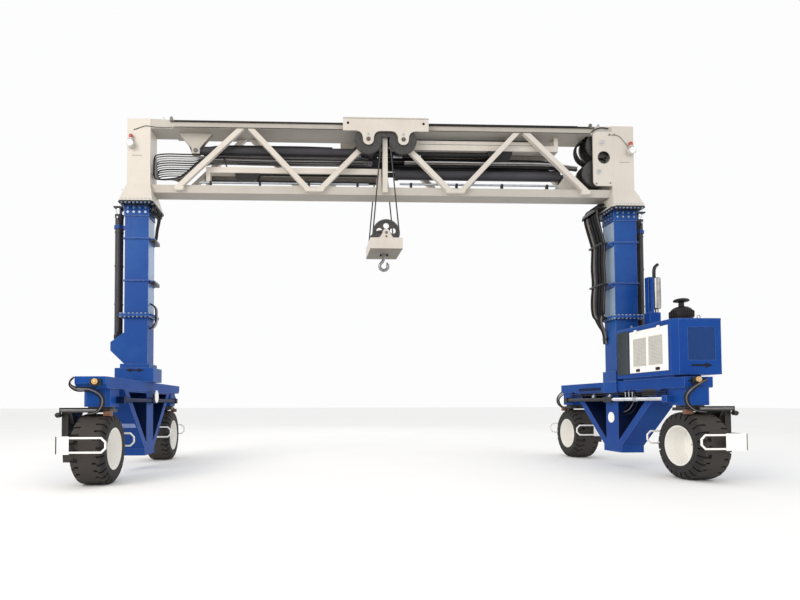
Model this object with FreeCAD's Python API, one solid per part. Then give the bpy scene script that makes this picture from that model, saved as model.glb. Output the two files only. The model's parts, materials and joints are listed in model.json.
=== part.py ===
import FreeCAD, Part
import math
import os

# Four-wheel mobile gantry crane: one truss girder on two telescoping masts, each mast on a
# two-wheel bogie. X runs along the girder, Y along the bogies, Z up. Millimetres.
# The origin lies on the ground under the middle of the crane.

V = FreeCAD.Vector

# ---------------------------------------------------------------- driving dimensions
leg_x = 5430.0                # mast centre from the middle of the crane
wheel_y = 2100.0              # king pin from the middle of the bogie
fit = 0.3                     # gap left between pieces that bear on each other

tyre_d = 1250.0
tyre_w = 580.0
tyre_round = 70.0             # shoulder radius
rim_d = 745.0
rim_wall = 14.0
rim_lip = 26.0
rim_lip_w = 14.0
rim_lip_lean = 12.0           # slope of the lip's inner face
rim_lip_inset = 8.0           # lip stands inside the tyre's side wall
disc_at = 120.0               # wheel disc, outboard of the wheel's middle
disc_t = 24.0
hub_r = 165.0                 # rotating hub drum behind the disc
hub_nose_r = 95.0
king_offset = 40.0            # wheel's middle, outboard of the king pin
axle_r = 70.0
motor_r = 150.0

plate_gap = 27.0              # tyre's top to the knuckle plate
plate_t = 60.0
slew_r = 222.0
slew_t = 40.0
post_in = 420.0               # knuckle post, from the leg's middle
post_out = 590.0
post_half = 235.0
post_drop = 225.0             # post's foot under the wheel's axis

guard_clear = 100.0           # guard hoop's bars, in front of the tyre's tread
guard_below = 5.0             # lower and upper bar of the hoop, from the wheel's axis
guard_above = 235.0
guard_rod = 17.0
guard_tip = -350.0            # hoop's inner tip, from the leg's middle
guard_out = 395.0
guard_point = 70.0

housing_half_w = 225.0        # king pin housing
housing_half_l = 250.0
housing_h = 322.7
beam_h = 200.0
beam_half_w = 265.0
beam_past_left = 500.0        # beam end past the king pin; the right beam is the shorter one
beam_past_right = 235.0
frame_half_w = 250.0
frame_foot_z = 330.0
foot_h = 150.0
foot_half = 340.0
post_y = 235.0
brace_w = 150.0
brace_short = 440.0           # brace ends this far inside the king pin
skin_t = 20.0

mast_w = 510.0
mast_l = 440.0
mast_h = 3455.0
mast_wall = 14.0
base_w_left = 830.0           # mast's base box; the left one is the larger one
base_l_left = 620.0
base_h_left = 300.0
base_w_right = 600.0
base_l_right = 510.0
base_h_right = 235.0
base_neck = 90.0
skirt_h = 225.0
skirt_t = 16.0
ring_drops = (1640.0, 715.0)  # rings and middle flange, from the mast's top and foot
ring_h = 26.0
ring_out = 34.0
flange_rise = 1055.0
flange_t = 25.0
flange_out = 105.0
hose_shelf = 130.0            # bracket that carries the hoses, inboard of a ring

inner_gap = 16.0              # inner mast to the outer mast's wall
inner_wall = 14.0
inner_short = 205.0           # inner mast is shorter than the outer one by this
head_t = 28.0
head_half_w = 375.0
head_half_l = 480.0
head_inset = 40.0             # head plate and column stand inboard of the mast's middle

lift_off = 193.0              # lift cylinder, from the mast's outer face
lift_r = 88.0
lift_rod_r = 55.0
lift_rise = 430.0             # cylinder's foot pin above the mast's foot
lift_short = 135.0            # barrel ends under the mast's top
lift_pin_r = 35.0
lug_half = 95.0
cheek_t = 22.0
clamp_drop = 320.0
clamp_h = 70.0

column_w = 500.0
column_l = 500.0
column_cap = 15.0             # column's top over the top chord
foot_plate_t = 26.0
flare_h = 425.0
girder_h = 1600.0             # bottom chord's underside to the top chord's top
top_h = 200.0
top_half_l = 240.0
ledge_out = 60.0
ledge_t = 26.0
ledge_short = 480.0           # ledges stop this far from the columns
low_rise = 250.4              # bottom chord's underside over the columns' foot plates
low_h = 175.0
low_half_l = 200.0
web_t = 95.0                  # truss bar, across the girder
web_w = 108.0                 # truss bar, in the girder's plane
foot_at = 0.3054              # feet and top nodes of the web, as parts of the half span
node_at = 0.5963
end_at = 0.8774
web_node_gap = 36.0           # half of the gap between two bars' tops
web_low_gap = 165.0
web_foot_rise = 115.0
web_foot_h = 80.0

sheave_r = 300.0
sheave_groove = 28.0
groove_half = 6.0             # half of the groove's floor
sheave_flange = 22.0          # rim under the groove
sheave_w = 46.0
sheave_hub_r = 62.0
sheave_holes = 5
rope_r = 9.0

trolley_half = 940.0
trolley_rise = 24.0           # side plate's top over the chord
trolley_plate_h = 295.0
trolley_plate_t = 22.0
trolley_plate_y = 408.0       # inner face of a side plate
trolley_lip = 8.0
trolley_lip_h = 30.0
trolley_sheave_x = 385.0
trolley_sheave_drop = 458.0   # sheave axis under the chord's top
trolley_ear_r = 117.0
trolley_ear_fillet = 110.0
trolley_hole_x = 830.0
trolley_hole_drop = 105.0
trolley_hole_r = 30.0
sheave_y = 363.0              # sheave planes of trolley and hook block
roller_r = 48.0
roller_w = 46.0
roller_x = 600.0
tie_w = 120.0
tie_t = 14.0
tie_gap = 6.0

block_margin = 55.0           # block's side past its sheaves
block_half_l = 430.0
block_under = 56.0            # block's floor under its sheaves
block_h = 238.0
block_drop = 2046.0           # block's sheave axis under the trolley's
cheek_w = 150.0
dome_r = 80.0
hook_shank_r = 38.0
hook_swivel_r = 58.0
hook_swivel_h = 66.0
hook_lug = 24.0
hook_bowl_r = 92.0
hook_bar_r = 34.0
hook_tip_r = 18.0
hook_tip_l = 45.0
hook_neck_r = 165.0
hook_neck_turn = 50.0         # degrees
hook_bowl_turn = 250.0
hook_drop = 282.0             # bowl's middle under the block's floor

hoist_r = 105.0
hoist_rod_r = 56.0
upper_drop = 385.0            # upper cylinder under the top chord
lower_rise = 365.0            # lower cylinder over the bottom chord
anchor_in = 940.0             # cylinder's tail pin, from the column's inner face
hoist_tail = 170.0
hoist_barrel_end = 250.0
anchor_half = 255.0
anchor_nose = 85.0
guide_h = 125.0
guide_half_l = 100.0
guide_rail = 34.0
guide_gap = 8.0
guide_in = 300.0
guide_short = 1160.0          # guide's end, from the column's inner face
guide_strap = 90.0
rail_drop = 35.0              # lower guide rails start this far under the rod's axis
rail_in = 60.0
traverse_at = 0.5155          # carriages, as parts of the half span
hoist_at = 0.5934
carriage_half = 280.0
carriage_drop = 210.0
traverse_rod_end = 0.5642     # piston ends, as parts of the half span
hoist_rod_end = 0.3988

stack_in = 440.0              # stack plate's inboard edge, from the column
stack_low = 70.0              # plate's lower edge over the bottom chord
stack_over = 78.0             # plate's upper edge over the top chord's underside
stack_hub_low_x = 321.0       # pins, from the column's inner face
stack_hub_high_x = 232.0
stack_hub_low = 392.0         # lower pin over the bottom chord
stack_hub_high = 168.0        # upper pin under the top chord
stack_sheave_r = 312.0
stack_hole_x = 191.0
stack_hole_z = 718.0
stack_hole_r = 145.0
stack_plate_t = 20.0
stack_corner = 110.0
stack_pin_r = 40.0
stack_sheave_y = 150.0
stack_room = 14.0             # pocket in the top chord, round the upper sheaves

lamp_r = 80.0
lamp_drop = 600.0             # lamp under the column's top
beacon_r = 45.0

steer_rise = 123.0            # steering cylinders over the housings' underside
steer_tube_r = 42.0
steer_clamp = 150.0

house_in = -350.0             # engine house, from the leg's middle
house_out = 550.0
house_back = 410.0            # house's back and front, in front of the bogie's middle
house_l = 1790.0
house_rise = 50.0             # house's floor over the beam
house_h = 1050.0
house_wall = 30.0
house_chamfer = 95.0
door_from_front = 160.0
door_w = 1185.0
door_sill = 85.0
door_h = 870.0
door_gap = 6.0
hinge_r = 13.0
hinge_l = 90.0
louvre_w = 520.0
louvre_h = 615.0
louvre_rise = 266.0
louvre_deep = 12.0
engine_w = 400.0
engine_h = 720.0

bowl_r = 266.0
bowl_at = 600.0               # pre-cleaner's axis, from the house's front
bowl_u = 252.0
muffler_r = 83.0
muffler_u = 455.0
muffler_at = 1640.0           # muffler's axis, from the house's front
muffler_rise = 460.0
muffler_h = 690.0
tailpipe_r = 30.0
stand_w = 235.0               # muffler's stand on the roof
stand_h = 375.0


# ---------------------------------------------------------------- levels and offsets
tyre_top = tyre_d
wheel_z = tyre_d / 2
plate_z = tyre_top + plate_gap
slew_z = plate_z + plate_t
housing_z = slew_z + slew_t + fit
beam_z = housing_z + housing_h
beam_top = beam_z + beam_h
guard_reach = tyre_d / 2 + guard_clear
guard_low = wheel_z - guard_below
guard_high = wheel_z + guard_above
steer_z = housing_z + steer_rise

mast_foot = beam_top + base_h_left + base_neck
mast_top = mast_foot + mast_h
lift_u = mast_w / 2 + lift_off
lift_foot_z = mast_foot + lift_rise
lift_top = mast_top - lift_short
clamp_z = lift_top - clamp_drop

head_z = mast_top + fit
foot_plate_z = head_z + head_t
column_z = foot_plate_z + foot_plate_t
flare_z = column_z + flare_h
low_z = column_z + low_rise
low_top = low_z + low_h
girder_top = low_z + girder_h
top_under = girder_top - top_h
column_in = leg_x - head_inset - column_w / 2
upper_z = top_under - upper_drop
lower_z = low_top + lower_rise

trolley_top = girder_top + trolley_rise
trolley_sheave_z = girder_top - trolley_sheave_drop
block_sheave_z = trolley_sheave_z - block_drop
block_z = block_sheave_z - sheave_r - block_under
block_top = block_z + block_h
hook_z = block_z - hook_drop

house_z = beam_top + house_rise
house_top = house_z + house_h
house_front_y = -house_back - house_l
door_y0 = house_front_y + door_from_front
door_y1 = door_y0 + door_w
door_z0 = house_z + door_sill
door_z1 = door_z0 + door_h


# ---------------------------------------------------------------- shape helpers
def box(x0, x1, y0, y1, z0, z1):
    return Part.makeBox(x1 - x0, y1 - y0, z1 - z0, V(x0, y0, z0))


def rod(start, end, radius):
    line = V(*end) - V(*start)
    return Part.makeCylinder(radius, line.Length, V(*start), line)


def face_of(points):
    wire = Part.makePolygon(points + [points[0]])
    return Part.Face(wire)


def prism_xz(outline, y0, y1):
    """Outline of (x, z) points, extruded along Y."""
    face = face_of([V(x, y0, z) for x, z in outline])
    return face.extrude(V(0, y1 - y0, 0))


def prism_yz(outline, x0, x1):
    """Outline of (y, z) points, extruded along X."""
    face = face_of([V(x0, y, z) for y, z in outline])
    return face.extrude(V(x1 - x0, 0, 0))


def prism_xy(outline, z0, z1):
    """Outline of (x, y) points, extruded along Z."""
    face = face_of([V(x, y, z0) for x, y in outline])
    return face.extrude(V(0, 0, z1 - z0))


def turned(profile, axis_point, axis):
    """Closed (radius, height) profile turned about an axis through axis_point."""
    face = face_of([V(r, 0, h) for r, h in profile])
    solid = face.revolve(V(0, 0, 0), V(0, 0, 1), 360)
    turn = FreeCAD.Rotation(V(0, 0, 1), V(*axis))
    solid.Placement = FreeCAD.Placement(V(*axis_point), turn)
    return solid


def bent_bar(centre, start, radius, axis, angle):
    """Round bar bent about centre, both given as (x, z), from the point start."""
    spoke = V(start[0] - centre[0], 0, start[1] - centre[1])
    tangent = V(*axis).cross(spoke)
    section = Part.Face(Part.Wire(Part.Circle(V(start[0], 0, start[1]), tangent, radius).toShape()))
    return section.revolve(V(centre[0], 0, centre[1]), V(*axis), angle)


def fused(shapes):
    whole = shapes[0].multiFuse(shapes[1:]) if len(shapes) > 1 else shapes[0]
    return whole.removeSplitter()


def group(shapes):
    return Part.makeCompound(shapes)


def mirror_x(shape):
    return shape.mirror(V(0, 0, 0), V(1, 0, 0))


def on_leg(shape, side):
    """Shape drawn about the right leg's middle, put on the right (+1) or left (-1) leg."""
    moved = shape.translated(V(leg_x, 0, 0))
    return moved if side > 0 else mirror_x(moved)


def upright_edges(shape):
    return [e for e in shape.Edges if abs(e.Vertexes[0].Z - e.Vertexes[-1].Z) > 1]


def rect_tube(half_w, half_l, wall, z0, z1):
    outer = box(-half_w, half_w, -half_l, half_l, z0, z1)
    bore = box(-half_w + wall, half_w - wall, -half_l + wall, half_l - wall, z0, z1)
    return outer.cut(bore)


def rect_band(half_w, half_l, out, z0, z1):
    """Band round a rectangular tube, with chamfered corners."""
    outer = box(-half_w - out, half_w + out, -half_l - out, half_l + out, z0, z1)
    outer = outer.makeChamfer(out * 0.6, upright_edges(outer))
    return outer.cut(box(-half_w, half_w, -half_l, half_l, z0, z1))


def sheave(x, y, z, radius, width):
    """Grooved rope sheave on an axis along Y, with a hub and lightening holes in its web."""
    half = width / 2
    web = width * 0.22
    rim_in = radius - sheave_groove - sheave_flange
    profile = [(0, -half - 4), (sheave_hub_r, -half - 4), (sheave_hub_r, -web), (rim_in, -web),
               (rim_in, -half), (radius, -half), (radius - sheave_groove, -groove_half),
               (radius - sheave_groove, groove_half), (radius, half), (rim_in, half), (rim_in, web),
               (sheave_hub_r, web), (sheave_hub_r, half + 4), (0, half + 4)]
    disc = turned(profile, (x, y, z), (0, 1, 0))
    hole_at = (rim_in + sheave_hub_r) / 2
    hole_r = (rim_in - sheave_hub_r) * 0.34
    for i in range(sheave_holes):
        a = 2 * math.pi * i / sheave_holes + math.pi / 2
        hx = x + hole_at * math.cos(a)
        hz = z + hole_at * math.sin(a)
        disc = disc.cut(rod((hx, y - half, hz), (hx, y + half, hz), hole_r))
    return disc


# ---------------------------------------------------------------- wheels and knuckles
def tyre():
    r = tyre_d / 2
    half = tyre_w / 2
    s = tyre_round
    seat = rim_d / 2 + fit
    lip_in = half - rim_lip_inset - rim_lip_w - fit
    side = [(seat, lip_in - rim_lip_lean), (seat + rim_lip, lip_in), (seat + rim_lip + 10, half - 4),
            (r - s * 2, half), (r - s, half - 10), (r - 18, half - 45), (r, half - s - 20)]
    profile = [(ri, -h) for ri, h in side] + [(ri, h) for ri, h in reversed(side)]
    return turned(profile, (king_offset, 0, wheel_z), (1, 0, 0))


def rim():
    """Deep dish rim: barrel, two lips, a disc outboard of the middle and the hub drum."""
    r = rim_d / 2
    half = tyre_w / 2 - rim_lip_inset
    bore = axle_r + fit
    lip = half - rim_lip_w
    well = lip - rim_lip_lean
    profile = [(r, -well), (r, well), (r + rim_lip, lip), (r + rim_lip, half),
               (r - rim_wall, half), (r - rim_wall - 12, disc_at + disc_t + 30),
               (hub_r + 40, disc_at + disc_t), (hub_r, disc_at + disc_t + 24), (bore, disc_at + disc_t + 24),
               (bore, disc_at - 46), (hub_nose_r, disc_at - 46), (hub_nose_r + 12, disc_at),
               (hub_r + 70, disc_at), (r - rim_wall - 12, disc_at - 34),
               (r - rim_wall, disc_at - 90), (r - rim_wall, -half), (r + rim_lip, -half),
               (r + rim_lip, -lip)]
    return turned(profile, (king_offset, 0, wheel_z), (1, 0, 0))


def knuckle():
    """Plate under the slew ring, post outboard of the tyre, wheel motor and stub axle."""
    plate = prism_xy([(-slew_r, -170), (-120, -slew_r), (post_out, -post_half - 30),
                      (post_out, post_half + 30), (-120, slew_r), (-slew_r, 170)], plate_z, slew_z)
    ring = Part.makeCylinder(slew_r, slew_t, V(0, 0, slew_z))
    taper_z = wheel_z + guard_above + 40
    foot_z = wheel_z - post_drop
    post = prism_yz([(-post_half, slew_z), (post_half, slew_z), (post_half, taper_z),
                     (post_half - 60, foot_z), (-post_half + 60, foot_z), (-post_half, taper_z)],
                    post_in + 60, post_out)
    rib = prism_yz([(-post_half, plate_z + 1), (post_half, plate_z + 1), (post_half - 90, plate_z - 197),
                    (-post_half + 90, plate_z - 197)], post_in, post_in + 62)
    motor_start = king_offset + disc_at + disc_t + 24 + 10
    motor = Part.makeCylinder(motor_r, post_in + 62 - motor_start, V(motor_start, 0, wheel_z), V(1, 0, 0))
    axle_start = king_offset + disc_at - 46
    axle = Part.makeCylinder(axle_r, motor_start + 2 - axle_start, V(axle_start, 0, wheel_z), V(1, 0, 0))
    arms = []
    for z in (guard_low, guard_high):
        arms.append(box(guard_out + 45, guard_out + 75, -guard_reach, guard_reach, z - 25, z + 25))
    for s in (-1, 1):
        y0, y1 = sorted((s * guard_reach, s * (guard_reach - 40)))
        arms.append(box(guard_out + 45, guard_out + 75, y0, y1, guard_low, guard_high))
    return fused([plate, ring, post, rib, motor, axle] + arms)


def guard_hoop(sign):
    """Round bar hoop that runs across one end of the tyre and points inboard."""
    y = sign * guard_reach
    corner = guard_tip + guard_point
    stops = [(guard_out, guard_low), (corner, guard_low), (guard_tip, guard_low + guard_point),
             (guard_tip, guard_high - guard_point), (corner, guard_high), (guard_out, guard_high)]
    bars = []
    for (x0, z0), (x1, z1) in zip(stops[:-1], stops[1:]):
        bars.append(rod((x0, y, z0), (x1, y, z1), guard_rod))
    for x, z in stops[1:-1]:
        bars.append(Part.makeSphere(guard_rod, V(x, y, z)))
    flange = box(guard_out - 20, guard_out + 45 - fit, y - guard_rod, y + guard_rod,
                 guard_low - 30, guard_high + 30)
    return fused(bars + [flange])


# ---------------------------------------------------------------- bogies
def bogie_frame(past, end_slope):
    """Side beam, deep middle post and V brace in one welded frame, with king pin housings."""
    foot_top = frame_foot_z + foot_h
    brace_end = wheel_y - brace_short
    outline = [(-foot_half, frame_foot_z), (foot_half, frame_foot_z), (foot_half, foot_top),
               (brace_end, beam_z), (-brace_end, beam_z), (-foot_half, foot_top)]
    body = prism_yz(outline, -frame_half_w, frame_half_w)
    slope = math.hypot(brace_end - foot_half, beam_z - foot_top)
    inset = brace_w * slope / (beam_z - foot_top)
    reach = brace_end - inset
    low = foot_top + (post_y - foot_half + inset) * (beam_z - foot_top) / (brace_end - foot_half)
    for s in (-1, 1):
        window = [(s * post_y, low), (s * post_y, beam_z - 40), (s * (reach - 40), beam_z - 40)]
        body = body.cut(prism_yz(window, -frame_half_w, frame_half_w - skin_t))
    half_l = wheel_y + past
    drop = beam_h * end_slope
    side = [(-half_l, beam_top), (half_l, beam_top), (half_l, beam_z + drop), (half_l - drop, beam_z),
            (-half_l + drop, beam_z), (-half_l, beam_z + drop)]
    beam = prism_yz(side, -beam_half_w, beam_half_w)
    housings = []
    for s in (-1, 1):
        y = s * wheel_y
        shell = box(-housing_half_w, housing_half_w, y - housing_half_l, y + housing_half_l,
                    housing_z, beam_z)
        outer_end = y + s * housing_half_l
        edges = [e for e in upright_edges(shell) if abs(e.Vertexes[0].Y - outer_end) < 1]
        housings.append(shell.makeChamfer(60, edges))
    return fused([body, beam] + housings)


def steering_drive():
    """Rack cylinders along the frame's inner face, clamped at the middle and at each housing."""
    x = -frame_half_w - steer_tube_r - 21
    end = wheel_y - housing_half_l + 80
    tubes = [rod((x, -end, steer_z), (x, -50, steer_z), steer_tube_r),
             rod((x, 50, steer_z), (x, end, steer_z), steer_tube_r)]
    clamps = []
    for y in (-end + 10, end - 10):
        clamps.append(box(x - steer_tube_r - 12, -housing_half_w - fit, y - 70, y + 70,
                          steer_z - 62, steer_z + 62))
    middle = box(x - steer_tube_r - 10, -frame_half_w - fit, -steer_clamp, steer_clamp,
                 steer_z - 58, steer_z + 58)
    return fused(tubes + clamps + [middle])


# ---------------------------------------------------------------- masts
def mast(base_w, base_l, base_h, neck_h):
    """Outer mast with its base box, cylinder bracket, rings, middle flange and top skirt."""
    half_w = mast_w / 2
    half_l = mast_l / 2
    base_top = beam_top + base_h
    parts = [box(-base_w / 2, base_w / 2, -base_l / 2, base_l / 2, beam_top + fit, base_top)]
    if neck_h > 0:
        parts.append(box(-half_w - 60, half_w + 60, -half_l - 60, half_l + 60, base_top, base_top + neck_h))
    parts.append(rect_tube(half_w, half_l, mast_wall, base_top, mast_top))
    for drop in ring_drops:
        z = mast_top - drop
        parts.append(rect_band(half_w, half_l, ring_out, z - ring_h / 2, z + ring_h / 2))
        parts.append(prism_xz([(-half_w, z + ring_h / 2), (-half_w - hose_shelf, z + 8),
                               (-half_w - hose_shelf, z - 14), (-half_w, z - 92)],
                              -half_l + 30, half_l - 30))
    flange_z = mast_foot + flange_rise
    parts.append(rect_band(half_w, half_l, flange_out, flange_z - flange_t, flange_z + flange_t))
    parts.append(rect_band(half_w, half_l, skirt_t, mast_top - skirt_h, mast_top))
    outline = [(half_w, mast_foot + 10), (lift_u + lug_half, lift_foot_z - 140),
               (lift_u + lug_half, lift_foot_z + 45), (half_w, lift_foot_z + 255)]
    for y in (-half_l, half_l - cheek_t):
        parts.append(prism_xz(outline, y, y + cheek_t))
    parts.append(rod((lift_u, -half_l, lift_foot_z), (lift_u, half_l, lift_foot_z), lift_pin_r))
    bore = rod((lift_u, 0, clamp_z - 1), (lift_u, 0, clamp_z + clamp_h + 1), lift_r + fit)
    clamp = box(half_w, lift_u, -46, 46, clamp_z, clamp_z + clamp_h)
    collar = rod((lift_u, 0, clamp_z), (lift_u, 0, clamp_z + clamp_h), lift_r + 22)
    return fused(parts + [clamp.cut(bore), collar.cut(bore)])


def lift_barrel():
    """Lift cylinder barrel with its bottom eye and gland, open down the middle for the rod."""
    eye = rod((lift_u, -60, lift_foot_z), (lift_u, 60, lift_foot_z), 78)
    barrel = rod((lift_u, 0, lift_foot_z + 40), (lift_u, 0, lift_top), lift_r)
    gland = rod((lift_u, 0, lift_top - 60), (lift_u, 0, lift_top), lift_r + 10)
    whole = fused([eye, barrel, gland])
    whole = whole.cut(rod((lift_u, -70, lift_foot_z), (lift_u, 70, lift_foot_z), lift_pin_r + fit))
    return whole.cut(rod((lift_u, 0, lift_foot_z + 150), (lift_u, 0, lift_top + 1), lift_rod_r + fit))


def inner_mast():
    """Inner mast that slides in the outer one, under the head plate that carries the girder."""
    half_w = mast_w / 2 - mast_wall - inner_gap
    half_l = mast_l / 2 - mast_wall - inner_gap
    tube = rect_tube(half_w, half_l, inner_wall, head_z - mast_h + inner_short, head_z)
    plate = box(-head_inset - head_half_w, -head_inset + head_half_w, -head_half_l, head_half_l,
                head_z, head_z + head_t)
    plate = plate.makeChamfer(60, upright_edges(plate))
    lug = box(head_half_w - head_inset - 60, lift_u + lug_half, -120, 120, head_z, head_z + head_t)
    return fused([tube, plate, lug])


def lift_rod():
    """Lift cylinder rod, from low in its barrel to the head plate's lug."""
    shaft = rod((lift_u, 0, lift_foot_z + 200), (lift_u, 0, head_z - fit), lift_rod_r)
    collar = rod((lift_u, 0, head_z - 70), (lift_u, 0, head_z - fit), lift_rod_r + 24)
    return fused([shaft, collar])


# ---------------------------------------------------------------- girder
def stack_pocket():
    """Room round the upper sheaves of the stack, in the top chord and the right column."""
    x, z = stack_pins()[1]
    reach = stack_sheave_r + stack_room
    half = stack_sheave_y + sheave_w / 2 + stack_room
    return box(x - reach, x + reach, -half, half, z - reach, z + reach)


def end_frame():
    """Column over a mast: foot plate, flared foot and box column with a capped top."""
    x = -head_inset
    plate = box(x - head_half_w, x + head_half_w, -head_half_l, head_half_l, foot_plate_z, column_z)
    plate = plate.makeChamfer(60, upright_edges(plate))
    half_w = column_w / 2
    half_l = column_l / 2
    wires = []
    for w, l, z in ((head_half_w - 25, head_half_l - 30, column_z), (half_w, half_l, flare_z)):
        wires.append(Part.makePolygon([V(x - w, -l, z), V(x + w, -l, z), V(x + w, l, z), V(x - w, l, z),
                                       V(x - w, -l, z)]))
    flare = Part.makeLoft(wires, True)
    column = box(x - half_w, x + half_w, -half_l, half_l, flare_z, girder_top + column_cap)
    return fused([plate, flare, column])


def top_chord():
    """Box chord with a trolley ledge along each lower edge."""
    chord = box(-column_in, column_in, -top_half_l, top_half_l, top_under, girder_top)
    end = column_in - ledge_short
    ledges = box(-end, end, -top_half_l - ledge_out, top_half_l + ledge_out, top_under, top_under + ledge_t)
    return fused([chord, ledges]).cut(stack_pocket())


def bottom_chord():
    """Box chord between the columns, cut to the slope of their flared feet."""
    chord = box(-column_in, column_in, -low_half_l, low_half_l, low_z, low_top)
    for s in (-1, 1):
        chord = chord.cut(on_leg(end_frame(), s))
    return chord


def bar_half(run, rise):
    """Half width of a sloping truss bar, measured along the chord."""
    return web_w * math.hypot(run, rise) / abs(rise) / 2


def web_bar(x0, z0, x1, z1, y0, y1):
    """Flat-ended truss bar between two levels, as a parallelogram."""
    half = bar_half(x1 - x0, z1 - z0)
    return prism_xz([(x0 - half, z0), (x0 + half, z0), (x1 + half, z1), (x1 - half, z1)], y0, y1)


def truss_side(side):
    """Web bars of one side of the girder, as V shaped pairs round the middle post."""
    near = low_half_l + fit
    y0, y1 = sorted((side * near, side * (near + web_t)))
    top = top_under - fit
    low = low_z + web_foot_rise
    foot_x = foot_at * column_in
    node_x = node_at * column_in
    end_x = end_at * column_in
    mid_gap = web_w / 2 + 3 + bar_half(foot_x - web_low_gap, top - low)
    node_gap = web_node_gap + bar_half(end_x - node_x, top - low)
    solids = []
    for s in (-1, 1):
        vee = [web_bar(s * (foot_x - web_low_gap), low, s * mid_gap, top, y0, y1),
               web_bar(s * (foot_x + web_low_gap), low, s * (node_x - node_gap), top, y0, y1)]
        half = web_low_gap + 70
        x0, x1 = sorted((s * (foot_x - half), s * (foot_x + half)))
        vee.append(prism_xz([(x0, low), (x1, low), (x1 - 40, low - web_foot_h), (x0 + 40, low - web_foot_h)],
                            y0, y1))
        solids.append(fused(vee))
        last = web_bar(s * end_x, low, s * (node_x + node_gap), top, y0, y1)
        pad = prism_xz([(s * end_x - 110, low), (s * end_x + 110, low), (s * end_x + 80, low - web_foot_h),
                        (s * end_x - 80, low - web_foot_h)], y0, y1)
        solids.append(fused([last, pad]))
    solids.append(box(-web_w / 2, web_w / 2, y0, y1, low - web_foot_h, top))
    return solids


# ---------------------------------------------------------------- hoist gear in the girder
def hoist_barrel(s, z, chord_z):
    """Horizontal cylinder barrel, pinned by its tail eye to a bracket on a chord."""
    pin_x = s * (column_in - anchor_in)
    start = pin_x - s * hoist_tail
    end = s * hoist_barrel_end
    nose = z + 70 if z > chord_z else z - 70
    barrel = rod((start, 0, z), (end, 0, z), hoist_r)
    gland = rod((end + s * 90, 0, z), (end, 0, z), hoist_r + 14)
    tail = rod((start, 0, z), (pin_x, 0, z), 52)
    eye = rod((pin_x, -40, z), (pin_x, 40, z), 68)
    pin = rod((pin_x, -72, z), (pin_x, 72, z), 28)
    parts = [barrel, gland, tail, eye, pin]
    for y in (-62, 40):
        parts.append(prism_xz([(pin_x - anchor_half, chord_z), (pin_x + anchor_half, chord_z),
                               (pin_x + anchor_nose, nose), (pin_x - anchor_nose, nose)], y, y + 22))
    bore = rod((start + s * -20, 0, z), (end - s * 1, 0, z), hoist_rod_r + fit)
    return fused(parts).cut(bore)


def upper_guide():
    """Box beam over the upper rod's travel, hung from the top chord by straps at its ends."""
    under = upper_z + hoist_rod_r + guide_gap
    x0 = guide_in
    x1 = column_in - guide_short
    parts = [box(x0, x1, -guide_half_l, guide_half_l, under, under + guide_h)]
    for x in (x0, x1 - guide_strap):
        for y0 in (-guide_half_l, guide_half_l - 22):
            parts.append(box(x, x + guide_strap, y0, y0 + 22, under + guide_h / 2, top_under - fit))
    return fused(parts)


def lower_guide():
    """Pair of rails beside the lower rod's travel, on a stand on the bottom chord at each end."""
    z0 = lower_z - rail_drop
    x0 = -column_in + guide_short + 20
    x1 = -rail_in
    parts = []
    for y0 in (-guide_half_l, guide_half_l - guide_rail):
        parts.append(box(x0, x1, y0, y0 + guide_rail, z0, z0 + guide_h))
        for x in (x0, x1 - guide_strap):
            parts.append(box(x, x + guide_strap, y0, y0 + guide_rail, low_top + fit, z0 + 1))
    for x in (x0, x1 - guide_strap):
        parts.append(box(x, x + guide_strap, -guide_half_l, guide_half_l, low_top + fit, z0 - 60))
    return fused(parts)


def rod_carriage(at, z, piston_end, between_rails):
    """Piston rod and the sheave carriage on its end, hung under or between its guide."""
    shaft = rod((piston_end, 0, z), (at, 0, z), hoist_rod_r)
    top = carriage_half
    low = carriage_half * 0.62
    floor = z - carriage_drop
    if between_rails:
        shoulder = z - rail_drop - guide_gap
        neck = box(at - low, at + low, -hoist_rod_r, hoist_rod_r, shoulder - 1, z + hoist_rod_r)
    else:
        shoulder = z
        neck = box(at - top, at + top, -guide_half_l + 10, guide_half_l - 10, z - 1,
                   z + hoist_rod_r + guide_gap - fit)
    body = prism_xz([(at - top, shoulder), (at + top, shoulder), (at + low, floor), (at - low, floor)],
                    -guide_half_l + 10, guide_half_l - 10)
    return fused([shaft, neck, body])


def stack_plate(s):
    """Side plate with two rounded corners, a round window and a hole for each sheave pin."""
    x0 = column_in - stack_in
    x1 = column_in - fit
    y0, y1 = sorted((s * (top_half_l + fit), s * (top_half_l + fit + stack_plate_t)))
    plate = box(x0, x1, y0, y1, low_top + stack_low, top_under + stack_over)
    corners = [e for e in plate.Edges if abs(e.Vertexes[0].X - x0) < 1 and abs(e.Vertexes[1].X - x0) < 1
               and abs(e.Vertexes[0].Y - e.Vertexes[1].Y) > 1]
    plate = plate.makeFillet(stack_corner, corners)
    hx = column_in - stack_hole_x
    hz = low_top + stack_hole_z
    plate = plate.cut(rod((hx, y0 - 5, hz), (hx, y1 + 5, hz), stack_hole_r))
    for x, z in stack_pins():
        plate = plate.cut(rod((x, y0 - 5, z), (x, y1 + 5, z), stack_pin_r + fit))
    return plate


def stack_pins():
    return ((column_in - stack_hub_low_x, low_top + stack_hub_low),
            (column_in - stack_hub_high_x, top_under - stack_hub_high))


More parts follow.
